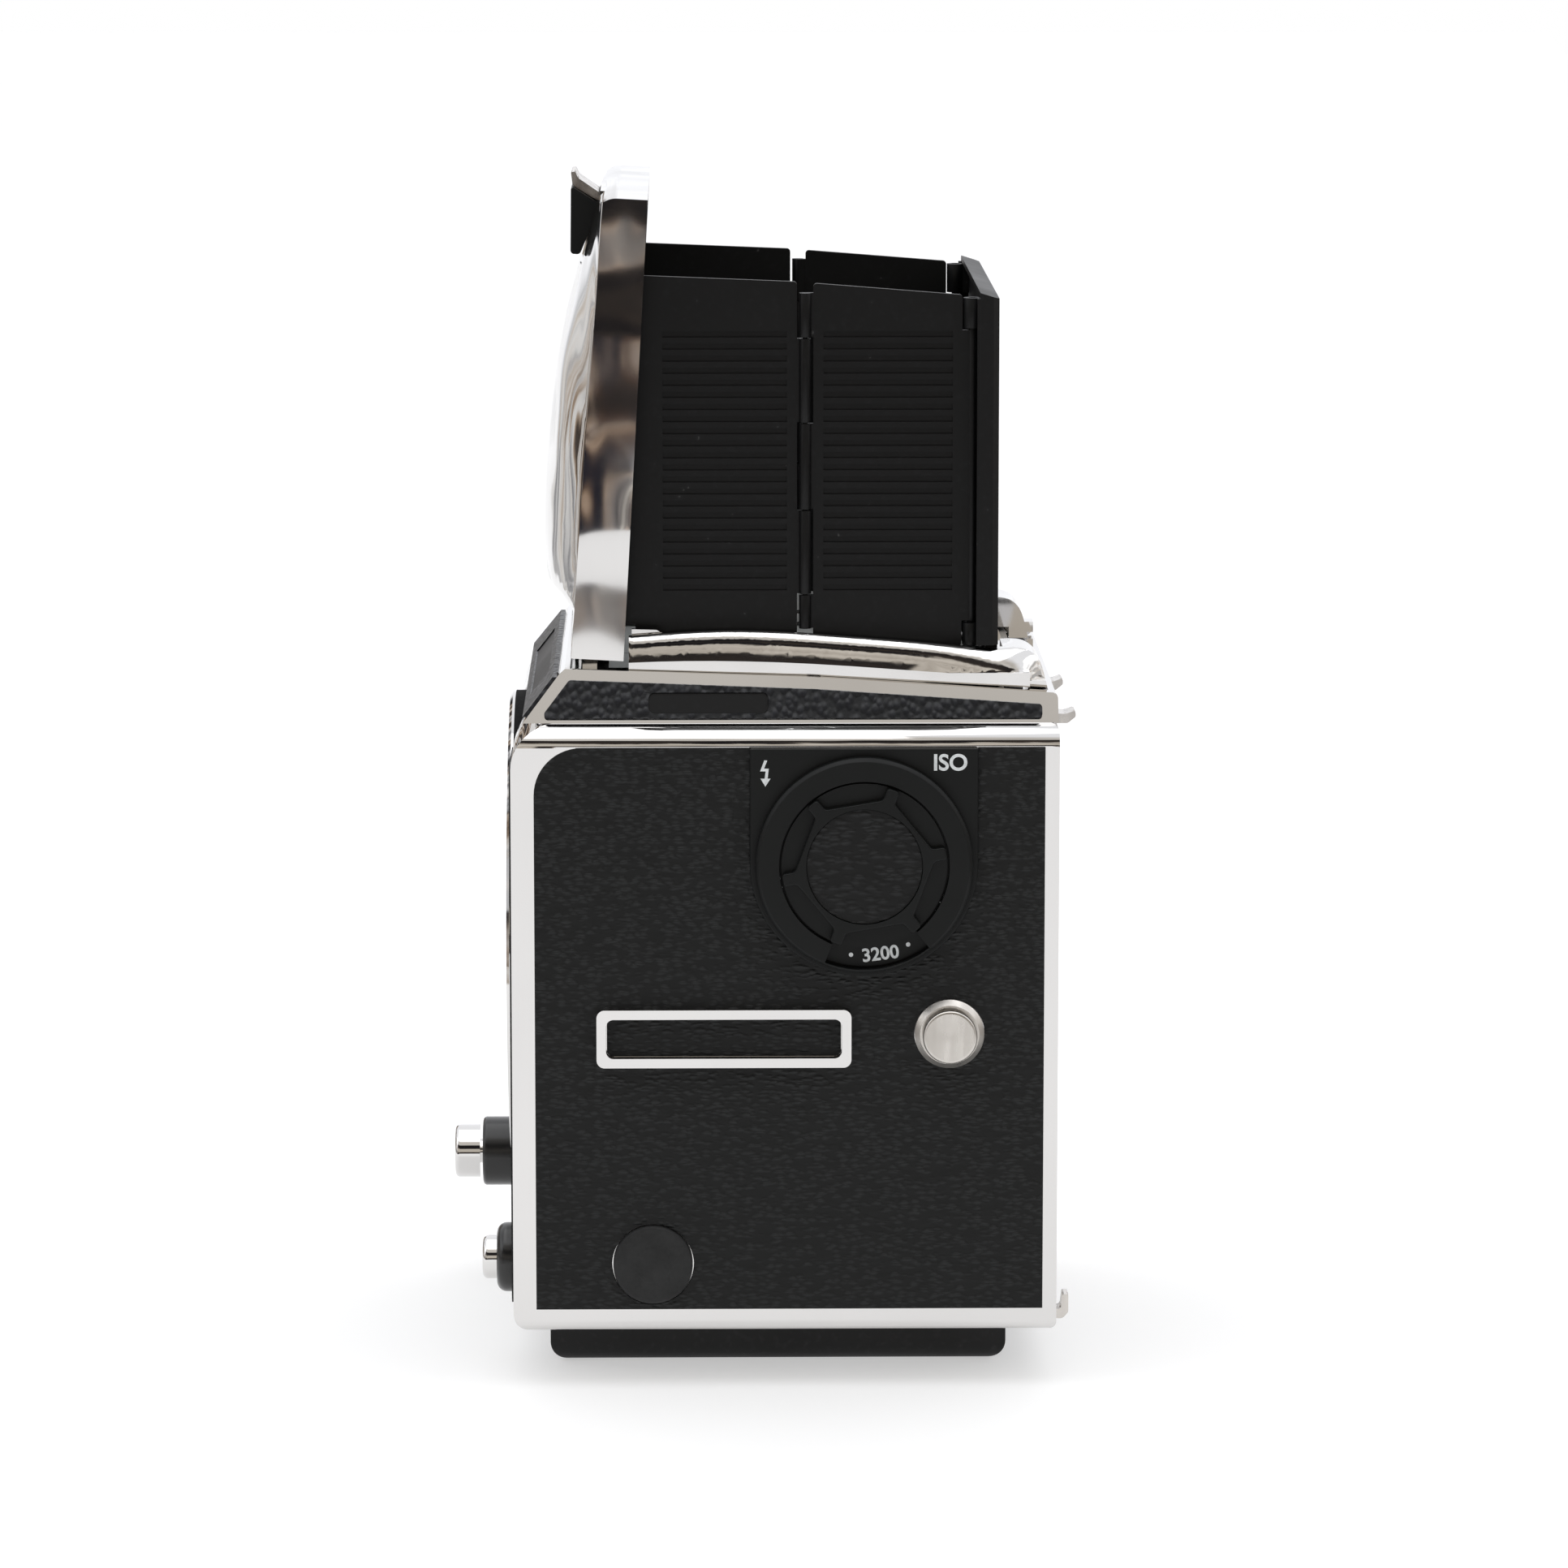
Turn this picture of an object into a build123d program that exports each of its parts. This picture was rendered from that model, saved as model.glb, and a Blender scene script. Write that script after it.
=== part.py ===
from build123d import *
from math import acos, atan2, cos, degrees, hypot, radians, sin
import os

# Medium-format single-lens reflex camera body with a folding waist-level finder, in millimetres.
# +Z is up, the lens side faces -Y, and the photographer's left side faces +X.
# The origin is the centre of the small tripod thread, on the foot's underside.

# ---- driving dimensions -------------------------------------------------------------------------
SHELL_X = 41.0                      # half width of the casing
SHELL_Y = 37.25                     # half depth of the casing
SHELL_Z0, SHELL_Z1 = 8.0, 92.0      # underside and top of the casing
WALL = 2.8
BACK_WALL = 2.2
SKIN = 0.3                          # depth of the recess that the leather lies in
LEATHER = 0.6                       # thickness of the leather
LENS_Z = 57.5                       # height of the lens axis
GATE = 56.0                         # side of the square film gate
THROAT_R = 28.5                     # bore that the lens barrel enters
PLATE_R = 33.3                      # round front plate
MIRROR_Y, MIRROR_Z = 31.2, 88.4     # mirror hinge
MIRROR_LENGTH = 57.0
FLAP_Y, FLAP_TOP_Z, FLAP_LOW_Z = 33.0, 86.5, 30.5
SCREEN_Z = 94.85                    # underside of the focusing screen
CRANK_Y, CRANK_Z = 0.0, 42.0
DRIVE_Y, DRIVE_Z = 31.75, 24.0      # magazine drive gear
CRANK_TEETH, IDLER_TEETH, DRIVE_TEETH = 20, 22, 12
MODULE = 1.0
DIAL_Y, DIAL_Z = 10.7, 73.2         # film-speed dial
LUG_Y, LUG_Z = 22.4, 49.6           # strap lugs
PLUG_Y, PLUG_Z = -18.1, 17.5        # flash socket
RELEASE_X, RELEASE_Z = -31.0, 18.0  # shutter release
LENS_RELEASE_X, LENS_RELEASE_Z = 28.5, 15.7
LEVER_Y, LEVER_Z = -14.0, 20.0      # mirror release lever
RIM_FRONT_Z, RIM_REAR_Z = 99.0, 95.8  # top frame's rim, falling to the rear
FRAME_FLOOR_Z = 95.0
DECK_Z0, DECK_Z1 = 97.0, 98.2       # finder base plate
FINDER_X = 34.05                    # half width of the finder base
LID_Y, LID_Z = -27.0, 99.0          # lid hinge
LID_LEAN = 3.2                      # degrees that the open lid leans rearward
LID_X = 34.0
LID_H = 64.0
LID_RIM = 5.03                      # depth of the lid's open edge behind its hinge line
HOOD_X = 29.3                       # outer face of the hood's side panels
PANEL = 0.9                         # thickness of the hood's side panels
HOOD_Z0 = 101.4
FOLD_Y = 2.9                        # middle hinge of the side panels
WALL_HINGE_X, WALL_HINGE_Y = 28.85, 25.7
KNUCKLE_R = 0.825
GAP = 0.3                           # clearance between pieces that move apart
RUN = 0.05                          # radial running clearance


# ---- helpers ------------------------------------------------------------------------------------
def block(x0, x1, y0, y1, z0, z1):
    return Pos((x0 + x1) / 2, (y0 + y1) / 2, (z0 + z1) / 2) * Box(x1 - x0, y1 - y0, z1 - z0)


def rod_x(x0, x1, y, z, r):
    return Pos((x0 + x1) / 2, y, z) * Rot(0, 90, 0) * Cylinder(r, abs(x1 - x0))


def rod_y(y0, y1, x, z, r):
    return Pos(x, (y0 + y1) / 2, z) * Rot(90, 0, 0) * Cylinder(r, abs(y1 - y0))


def rod_z(z0, z1, x, y, r):
    return Pos(x, y, (z0 + z1) / 2) * Cylinder(r, abs(z1 - z0))


def outline(points, radii=None):
    """A closed flat outline whose corners are rounded by the radii given, 0 for a sharp corner."""
    face = make_face(Polyline(*points, close=True))
    for point, radius in zip(points, radii or []):
        if radius:
            face = fillet(face.vertices().sort_by_distance(Vector(*point))[0], radius)
    return face


def stood_at(x, face):
    """The outline, drawn in Y and Z, at a place along X."""
    return Plane(origin=(x, 0, 0), x_dir=(0, 1, 0), z_dir=(1, 0, 0)) * face


def slab_x(face, x0, x1):
    """The outline, drawn in Y and Z, pushed along X."""
    return extrude(stood_at(x0, face), amount=x1 - x0, dir=(1, 0, 0))


def slab_y(face, y0, y1):
    """The outline, drawn in X and Z, pushed along Y."""
    plane = Plane(origin=(0, y0, 0), x_dir=(1, 0, 0), z_dir=(0, -1, 0))
    return extrude(plane * face, amount=y1 - y0, dir=(0, 1, 0))


def rectangle(a0, a1, b0, b1):
    return [(a0, b0), (a1, b0), (a1, b1), (a0, b1)]


def mirrored(shape):
    return mirror(shape, about=Plane.YZ)


def both_sides(shape):
    return shape + mirrored(shape)


def group(*shapes):
    """Separate solids that share a node and stay separate where they touch."""
    return Compound([solid for shape in shapes for solid in shape.solids()])


# ---- casing -------------------------------------------------------------------------------------
def casing_blank():
    side = outline(rectangle(-SHELL_Y, SHELL_Y, SHELL_Z0, SHELL_Z1), [2.5, 1.2, 1.2, 6.0])
    front = outline(rectangle(-SHELL_X, SHELL_X, SHELL_Z0, SHELL_Z1), [1.5, 1.5, 3.0, 3.0])
    return slab_x(side, -SHELL_X, SHELL_X) & slab_y(front, -SHELL_Y, SHELL_Y)


SIDE_LEATHER = outline(rectangle(-34.1, 35.3, 11.2, 89.0), [0, 0, 0, 6.5])
FRONT_LEATHER = outline(rectangle(-38.0, 38.0, 11.2, 85.8), [1.5, 1.5, 3.0, 3.0])
LIGHT_FRAME = rectangle(-33.5, 33.5, 16.0, 87.0)


def plate_outline():
    """Flash and film-speed plate: square at the top, round at the bottom."""
    half = 15.5
    return (make_face(Polyline(*rectangle(DIAL_Y - half, DIAL_Y + half, DIAL_Z, 89.0), close=True))
            + Pos(DIAL_Y, DIAL_Z) * Circle(half))


def body_shell():
    inner = block(-SHELL_X + WALL, SHELL_X - WALL, -SHELL_Y + 3.0, SHELL_Y - BACK_WALL,
                  SHELL_Z0 + WALL, SHELL_Z1 - WALL)
    shell = casing_blank() - inner
    shell -= rod_y(-SHELL_Y - 1, -SHELL_Y + 3.1, 0, LENS_Z, PLATE_R + RUN)
    shell -= block(-30.6, 30.6, -33.6, 35.05, 88, 93)
    shell -= slab_y(outline(LIGHT_FRAME), SHELL_Y - BACK_WALL - 0.1, SHELL_Y + 1)
    shell -= block(-37.2, -34.2, 34, 38, DRIVE_Z - 7.6, DRIVE_Z + 7.6)
    shell -= slab_x(SIDE_LEATHER, SHELL_X - SKIN, SHELL_X + 1)
    shell -= slab_x(SIDE_LEATHER, -SHELL_X - 1, -SHELL_X + SKIN)
    shell -= slab_y(FRONT_LEATHER, -SHELL_Y - 1, -SHELL_Y + SKIN)
    shell -= rod_x(-SHELL_X - 1, -SHELL_X + 3, CRANK_Y, CRANK_Z, 4.0 + RUN)
    shell -= rod_x(-SHELL_X - 1, -SHELL_X + 3, LEVER_Y, LEVER_Z, 1.5 + RUN)
    shell -= rod_x(SHELL_X - 3, SHELL_X + 1, DIAL_Y, DIAL_Z, 3.0 + RUN)
    shell -= rod_x(SHELL_X - 3, SHELL_X + 1, PLUG_Y, PLUG_Z, 5.2)
    shell -= rod_y(-SHELL_Y - 1, -SHELL_Y + 3.1, RELEASE_X, RELEASE_Z, 3.6)
    shell -= rod_y(-SHELL_Y - 1, -SHELL_Y + 3.1, LENS_RELEASE_X, LENS_RELEASE_Z, 3.0)
    return shell


def side_leather(side):
    """Covering of one side: +1 is the dial side, -1 the crank side."""
    x0 = SHELL_X - SKIN
    skin = slab_x(SIDE_LEATHER, x0, x0 + LEATHER)
    holes = [rod_x(x0 - 1, x0 + 2, LUG_Y, LUG_Z, 4.8)]
    if side > 0:
        holes.append(slab_x(plate_outline(), x0 - 1, x0 + 2))
        holes.append(rod_x(x0 - 1, x0 + 2, PLUG_Y, PLUG_Z, 5.6))
        holes.append(slab_x(RAIL, x0 - 1, x0 + 2))
    else:
        holes.append(rod_x(x0 - 1, x0 + 2, CRANK_Y, CRANK_Z, 15.1))
        holes.append(rod_x(x0 - 1, x0 + 2, LEVER_Y, LEVER_Z, 5.1))
    for hole in holes:
        skin -= hole
    return skin if side > 0 else mirrored(skin)


def front_leather():
    skin = slab_y(FRONT_LEATHER, -SHELL_Y - LEATHER + SKIN, -SHELL_Y + SKIN)
    skin -= rod_y(-40, -36, 0, LENS_Z, PLATE_R + 0.6)
    skin -= rod_y(-40, -36, RELEASE_X, RELEASE_Z, 5.1)
    skin -= rod_y(-40, -36, LENS_RELEASE_X, LENS_RELEASE_Z, 4.9)
    return skin


def light_frame():
    frame = slab_y(outline(LIGHT_FRAME, [2] * 4), SHELL_Y - BACK_WALL, SHELL_Y + 0.25)
    half = GATE / 2
    gate = slab_y(outline(rectangle(-half, half, LENS_Z - half, LENS_Z + half), [1.5] * 4), 34, 39)
    lip = slab_y(outline(rectangle(-31, 31, 19, 86), [2] * 4), SHELL_Y - 0.35, 39)
    land = slab_y(outline(rectangle(-30, 30, 27.5, 86.2), [2] * 4), SHELL_Y - 1, SHELL_Y + 0.05)
    return (frame - lip + land) - gate


def upper_hooks():
    side = outline([(SHELL_Y, 88.9), (39.6, 88.9), (40.7, 89.8), (40.7, 90.7), (39.3, 90.2), (SHELL_Y, 90.3)],
                   [0, 0.8, 0.3, 0.3, 0.8, 0])
    return both_sides(slab_x(side, 13.6, 18.2))


def lower_hooks():
    side = outline([(SHELL_Y, 8.6), (38.4, 8.6), (39.15, 9.5), (39.15, 12.0), (38.35, 12.0), (38.1, 10.0),
                    (SHELL_Y, 9.9)], [0, 0.8, 0.5, 0.2, 0.2, 0.4, 0])
    return both_sides(slab_x(side, 33.4, 36.6))


# ---- front --------------------------------------------------------------------------------------
SHAFT_Z = LENS_Z - 30.6             # lens drive shaft, just under the throat
SHAFT_R = 1.3


def front_plate():
    plate = rod_y(-SHELL_Y - 0.15, -SHELL_Y + 3.0, 0, LENS_Z, PLATE_R)
    plate += block(-36.0, 36.0, -SHELL_Y + 3.0, -33.2, 22.0, 89.0)
    plate -= rod_y(-40, -30, 0, LENS_Z, THROAT_R)
    plate -= rod_y(-40, -SHELL_Y + 0.65, 0, LENS_Z, 32.5)
    plate -= rod_y(-40, -30, 0, SHAFT_Z, SHAFT_R + RUN)
    for x, z in screw_places():
        plate -= rod_y(-38, -34.6, x, z, 0.7)
    return plate


def screw_places():
    """Four screws that hold the bayonet ring, between its slots."""
    return [(30.6 * cos(radians(a)), LENS_Z + 30.6 * sin(radians(a))) for a in (30, 150, 210, 330)]


def bayonet_ring():
    y0, y1 = -38.0, -SHELL_Y + 0.65
    ring = rod_y(y0, y1, 0, LENS_Z, 32.45) - rod_y(y0 - 1, y1 + 1, 0, LENS_Z, THROAT_R)
    notch = rod_y(y0 - 1, y1 + 1, 0, LENS_Z, THROAT_R + 0.9)
    wedge = slab_y(outline([(0, LENS_Z), (40, LENS_Z - 6.3), (40, LENS_Z + 6.3)]), y0 - 1, y1 + 1)
    for angle in (90, 180, 0):
        turned = Pos(0, 0, LENS_Z) * Rot(0, -angle, 0) * Pos(0, 0, -LENS_Z) * wedge
        ring -= notch & turned
    ring -= rod_y(y0 - 1, y1 + 1, 0, SHAFT_Z, SHAFT_R + RUN)
    for x, z in screw_places():
        ring -= rod_y(y0 - 1, y1 + 1, x, z, 0.7)
        ring -= rod_y(y0 - 1, y0 + 0.5, x, z, 1.2)
    return ring


def bayonet_screws():
    screws = []
    for x, z in screw_places():
        screw = rod_y(-37.95, -37.5, x, z, 1.15) + rod_y(-37.5, -34.7, x, z, 0.68)
        screws.append(screw - block(x - 1.3, x + 1.3, -38.1, -37.75, z - 0.2, z + 0.2))
    return screws[0] + screws[1:]


def lens_bezel():
    y1 = -SHELL_Y - 0.15
    ring = rod_y(y1 - 0.75, y1, 0, LENS_Z, PLATE_R)
    ring = chamfer(ring.edges().filter_by(GeomType.CIRCLE).sort_by(Axis.Y)[0], 0.4)
    return ring - rod_y(y1 - 2, y1 + 1, 0, LENS_Z, 32.5)


def lens_drive_shaft():
    shaft = rod_y(-37.9, -29.5, 0, SHAFT_Z, SHAFT_R) + rod_y(-33.0, -32.0, 0, SHAFT_Z, 1.5)
    return shaft - block(-2, 2, -38, -36.9, SHAFT_Z - 0.35, SHAFT_Z + 0.35)


def release_collar():
    collar = rod_y(-43.4, -SHELL_Y + SKIN, RELEASE_X, RELEASE_Z, 5.05)
    collar = fillet(collar.edges().filter_by(GeomType.CIRCLE).sort_by(Axis.Y)[0], 0.6)
    collar -= rod_y(-44, -41.0, RELEASE_X, RELEASE_Z, 4.2)
    return collar - rod_y(-44, -30, RELEASE_X, RELEASE_Z, 1.8 + RUN)


def release_button():
    head = rod_y(-47.5, -43.8, RELEASE_X, RELEASE_Z, 3.9)
    head = fillet(head.edges().filter_by(GeomType.CIRCLE).sort_by(Axis.Y)[0], 0.7)
    stem = rod_y(-43.9, -33.5, RELEASE_X, RELEASE_Z, 1.8)
    return head + stem - rod_y(-48, -42, RELEASE_X, RELEASE_Z, 1.3)


def lens_release_collar():
    collar = rod_y(-39.8, -SHELL_Y, LENS_RELEASE_X, LENS_RELEASE_Z, 4.8)
    collar = fillet(collar.edges().filter_by(GeomType.CIRCLE).sort_by(Axis.Y)[0], 1.4)
    collar -= rod_y(-40, -37.2, LENS_RELEASE_X, LENS_RELEASE_Z, 3.2)
    return collar - rod_y(-44, -30, LENS_RELEASE_X, LENS_RELEASE_Z, 1.5 + RUN)


def lens_release_button():
    head = rod_y(-41.8, -39.5, LENS_RELEASE_X, LENS_RELEASE_Z, 3.0)
    head = fillet(head.edges().filter_by(GeomType.CIRCLE).sort_by(Axis.Y)[0], 0.8)
    return head + rod_y(-39.6, -33.5, LENS_RELEASE_X, LENS_RELEASE_Z, 1.5)


# ---- mirror and rear flaps ----------------------------------------------------------------------
BOX_X, BOX_Y0, BOX_Y1, BOX_Z0, BOX_Z1 = 30.2, -33.2, 35.05, 28.5, 91.9
SHEET = 1.0                         # thickness of the mirror box's sheets


def mirror_box():
    """Five sheets that meet edge to edge: sides, floor, front over the throat and rear round the gate."""
    half, inner = GATE / 2, BOX_X - SHEET
    side = block(inner, BOX_X, BOX_Y0, BOX_Y1, BOX_Z0, BOX_Z1)
    for y, z, r in hinge_places():
        side -= rod_x(inner - 1, BOX_X + 1, y, z, r)
    floor = block(-inner, inner, BOX_Y0, BOX_Y1, BOX_Z0, BOX_Z0 + SHEET)
    floor -= block(-9, 9, BOX_Y0 - 1, BOX_Y0 + 6, LENS_Z - THROAT_R - 0.1, BOX_Z0 + 2)
    front = block(-inner, inner, BOX_Y0, BOX_Y0 + SHEET, LENS_Z + THROAT_R - 4, BOX_Z1)
    front -= rod_y(BOX_Y0 - 1, BOX_Y0 + 2, 0, LENS_Z, THROAT_R + 1)
    rear = block(-inner, inner, BOX_Y1 - SHEET, BOX_Y1, BOX_Z0 + SHEET, BOX_Z1)
    rear -= block(-half, half, BOX_Y1 - 2, BOX_Y1 + 1, BOX_Z0, LENS_Z + half)
    return group(side, mirrored(side), floor, front, rear)


def hinge_places():
    return [(MIRROR_Y, MIRROR_Z, 0.8), (FLAP_Y, FLAP_TOP_Z, 0.45), (FLAP_Y, FLAP_LOW_Z, 0.45)]


def box_pins():
    pins = [rod_x(-BOX_X, BOX_X, y, z, r) for y, z, r in hinge_places()]
    return pins[0] + pins[1:]


def lowered(shape):
    """Turns a piece drawn with the mirror up, flat under the screen, down to its viewing angle."""
    hinge = Pos(0, MIRROR_Y, MIRROR_Z)
    return hinge * Rot(45, 0, 0) * hinge.inverse() * shape


def mirror_frame():
    end = MIRROR_Y - MIRROR_LENGTH
    frame = block(-28.3, 28.3, end, MIRROR_Y, MIRROR_Z - 1.0, MIRROR_Z)
    frame += rod_x(-27, 27, MIRROR_Y, MIRROR_Z, 1.4)
    frame += block(-28.3, 28.3, end, end + 0.9, MIRROR_Z - 1.0, MIRROR_Z + 0.9)
    frame -= rod_x(-30, 30, MIRROR_Y, MIRROR_Z, 0.8 + RUN)
    frame -= block(-18, 18, end + 14, MIRROR_Y - 14, MIRROR_Z - 2, MIRROR_Z - 0.5)
    return lowered(frame)


def mirror_glass():
    end = MIRROR_Y - MIRROR_LENGTH
    return lowered(block(-27.8, 27.8, end + 0.95, MIRROR_Y - 2.2, MIRROR_Z, MIRROR_Z + 1.2))


def rear_flap(hinge_z, tip_z):
    low, high = sorted((hinge_z, tip_z))
    flap = block(-28.6, 28.6, FLAP_Y - 0.3, FLAP_Y + 0.3, low, high)
    flap += rod_x(-28.6, 28.6, FLAP_Y, hinge_z, 0.9)
    flap += block(-20, 20, FLAP_Y - 0.55, FLAP_Y + 0.3, (low + high) / 2 - 1, (low + high) / 2 + 1)
    return flap - rod_x(-30, 30, FLAP_Y, hinge_z, 0.45 + RUN)


# ---- top frame and screen -----------------------------------------------------------------------
RIM_SIDE = [(-35.6, SHELL_Z1), (37.2, SHELL_Z1), (37.2, RIM_REAR_Z), (4.0, 97.9), (-29.9, RIM_FRONT_Z),
            (-30.6, 98.4)]
RIM_FRONT = [(-38.2, SHELL_Z1), (38.2, SHELL_Z1), (34.95, RIM_FRONT_Z), (-34.95, RIM_FRONT_Z)]
SLOPE_X = (RIM_FRONT[1][0] - RIM_FRONT[2][0]) / (RIM_FRONT_Z - SHELL_Z1)  # side slope, X per Z


def rim_z(y):
    """Height of the rim's straight chord at a depth y."""
    return RIM_FRONT_Z + (y + 29.9) / 67.1 * (RIM_REAR_Z - RIM_FRONT_Z)


def top_frame():
    frame = slab_x(outline(RIM_SIDE, [0, 0, 0.8, 60, 0, 0.3]), -40, 40) & slab_y(outline(RIM_FRONT), -40, 40)
    frame -= block(-FINDER_X - GAP, FINDER_X + GAP, -29.2, 40, FRAME_FLOOR_Z, 110)
    frame -= block(-31.4, 31.4, -28.9, 32.9, 93.0, 96)
    frame -= block(-28.5, 28.5, -27.0, 30.0, 91, 94)
    frame += both_sides(block(32.6, FINDER_X + GAP, -29.2, 18.0, 96.3, 96.6)
                        + block(33.95, FINDER_X + GAP, -29.2, 18.0, FRAME_FLOOR_Z, 96.6))
    return frame


def on_slope(z, proud=0.0):
    """X of the frame's side slope at a height z, moved out by proud."""
    return RIM_FRONT[1][0] - (z - SHELL_Z1) * SLOPE_X + proud


TRIM_SIDE = [(-33.2, 92.7), (35.0, 92.7), (35.0, 94.4), (4.0, 96.4), (-29.3, 97.6)]
LABEL = rectangle(-18.5, -2.2, 93.3, 96.0)


def side_trim(side):
    """Black covering of the frame's sloping side; the dial side has a blank label panel."""
    z0, z1, proud = 92.6, 97.8, 0.5
    strip = slab_y(outline([(on_slope(z0), z0), (on_slope(z0, proud), z0), (on_slope(z1, proud), z1),
                            (on_slope(z1), z1)]), -34, 36)
    strip &= slab_x(outline(TRIM_SIDE, [0.5, 0.5, 0.5, 40, 0.5]), 30, 45)
    if side > 0:
        return strip - slab_x(outline(LABEL, [0.8] * 4), 30, 45)
    return mirrored(strip)


def label_panel():
    z0, z1, proud = 93.3, 96.0, 0.3
    strip = slab_y(outline([(on_slope(z0), z0), (on_slope(z0, proud), z0), (on_slope(z1, proud), z1),
                            (on_slope(z1), z1)]), -20, 0)
    return strip & slab_x(outline(LABEL, [0.8] * 4), 30, 45)


def front_slope(y_out, z0, z1, half_low, half_high):
    """A strip lying on the frame's sloping front, y_out proud of it."""
    (ya, za), (yb, zb) = RIM_SIDE[0], RIM_SIDE[5]
    along = [(ya + (yb - ya) * (z - za) / (zb - za), z) for z in (z0, z1)]
    (low_y, _), (high_y, _) = along
    strip = slab_x(outline([along[0], along[1], (high_y - y_out, z1), (low_y - y_out, z0)]), -40, 40)
    ends = outline([(-half_low, z0), (half_low, z0), (half_high, z1), (-half_high, z1)])
    return strip & slab_y(ends, -45, -20)


def front_trim():
    return front_slope(0.6, 92.7, 97.9, 37.2, 35.2) - front_slope(2.0, 93.6, 97.0, 22.0, 22.0)


def name_panel():
    return front_slope(0.35, 93.6, 97.0, 21.9, 21.9)


def screen_frame():
    ring = block(-31.2, 31.2, -28.7, 32.7, 93.0, 96.6) - block(-28.5, 28.5, -27.0, 30.0, 92, 98)
    return ring - block(-29.8, 29.8, -28.2, 31.2, SCREEN_Z, 98)


def focusing_screen():
    return block(-29.6, 29.6, -28.0, 31.0, SCREEN_Z, SCREEN_Z + 1.5)


# ---- winding train ------------------------------------------------------------------------------
GEAR_X0, GEAR_X1 = -36.7, -34.7


def gear(teeth, y, z, phase):
    """A spur gear about an axis along X; one tooth points at the angle phase, from +Y towards +Z."""
    pitch_r = MODULE * teeth / 2
    root_r, tip_r = pitch_r - 1.1 * MODULE, pitch_r + 0.8 * MODULE
    step = 360 / teeth
    points = []
    for tooth in range(teeth):
        for radius, offset in ((root_r, -0.29), (tip_r, -0.12), (tip_r, 0.12), (root_r, 0.29)):
            angle = radians(phase + (tooth + offset) * step)
            points.append((y + radius * cos(angle), z + radius * sin(angle)))
    return slab_x(outline(points), GEAR_X0, GEAR_X1)


def idler_place():
    """Where the idler meshes with both the crank gear and the magazine drive gear."""
    near, far = MODULE * (CRANK_TEETH + IDLER_TEETH) / 2, MODULE * (DRIVE_TEETH + IDLER_TEETH) / 2
    dy, dz = DRIVE_Y - CRANK_Y, DRIVE_Z - CRANK_Z
    span = hypot(dy, dz)
    turn = atan2(dz, dy) - acos((near ** 2 + span ** 2 - far ** 2) / (2 * near * span))
    return CRANK_Y + near * cos(turn), CRANK_Z + near * sin(turn)


IDLER_Y, IDLER_Z = idler_place()


def gear_phases():
    """Tooth angles that leave the three gears in mesh at rest."""
    to_idler = degrees(atan2(IDLER_Z - CRANK_Z, IDLER_Y - CRANK_Y))
    idler = to_idler + 180 + 180 / IDLER_TEETH
    to_drive = degrees(atan2(DRIVE_Z - IDLER_Z, DRIVE_Y - IDLER_Y))
    step = 360 / IDLER_TEETH
    off = (idler - to_drive + step / 2) % step - step / 2
    drive = to_drive + 180 + 180 / DRIVE_TEETH - off * IDLER_TEETH / DRIVE_TEETH
    return to_idler, idler, drive


def gear_plate():
    plate = slab_x(outline(rectangle(-22, 34.5, 11.5, 58), [3] * 4), -38.15, -37.0)
    plate -= rod_x(-39, -36, CRANK_Y, CRANK_Z, 4.0 + RUN)
    plate -= rod_x(-39, -36, LEVER_Y, LEVER_Z, 1.5 + RUN)
    for y, z in ((IDLER_Y, IDLER_Z), (DRIVE_Y, DRIVE_Z)):
        plate += rod_x(-37.1, -34.4, y, z, 1.5)
    return plate


def crank_gear():
    wheel = gear(CRANK_TEETH, CRANK_Y, CRANK_Z, gear_phases()[0])
    return wheel + rod_x(-42.9, -34.0, CRANK_Y, CRANK_Z, 4.0)


def idler_gear():
    wheel = gear(IDLER_TEETH, IDLER_Y, IDLER_Z, gear_phases()[1])
    return wheel - rod_x(-39, -30, IDLER_Y, IDLER_Z, 1.5 + RUN)


def magazine_drive_gear():
    wheel = gear(DRIVE_TEETH, DRIVE_Y, DRIVE_Z, gear_phases()[2])
    return wheel - rod_x(-39, -30, DRIVE_Y, DRIVE_Z, 1.5 + RUN)


def spring_barrel():
    return rod_x(-34.0, -31.2, CRANK_Y, CRANK_Z, 8.5)


def crank_collar():
    collar = rod_x(-SHELL_X + SKIN, -42.5, CRANK_Y, CRANK_Z, 15.0)
    collar = chamfer(collar.edges().filter_by(GeomType.CIRCLE).sort_by(Axis.X)[0], 0.6)
    return collar - rod_x(-45, -38, CRANK_Y, CRANK_Z, 4.0 + RUN)


def crank_hub():
    hub = rod_x(-45.4, -42.9, CRANK_Y, CRANK_Z, 12.5)
    for step in range(24):
        angle = radians(15 * step)
        hub -= rod_x(-46, -42, CRANK_Y + 12.9 * cos(angle), CRANK_Z + 12.9 * sin(angle), 0.8)
    return hub


ARM_END_Z = CRANK_Z + 26.0
FORK_X = -51.5


def crank_arm():
    arm = slab_x(outline(rectangle(CRANK_Y - 3.6, CRANK_Y + 3.6, CRANK_Z - 7, ARM_END_Z + 2.4), [3.4] * 4),
                 -47.6, -45.4)
    ear = slab_y(outline([(-47.5, ARM_END_Z - 2.2), (-47.5, ARM_END_Z + 2.2), (-53.6, ARM_END_Z + 2.2),
                          (-53.6, ARM_END_Z - 2.2)], [0, 0, 2.0, 2.0]), 2.5, 3.5)
    arm += ear + mirror(ear, about=Plane.XZ)
    return arm - rod_y(-5, 5, FORK_X, ARM_END_Z, 0.8 + RUN)


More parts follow.
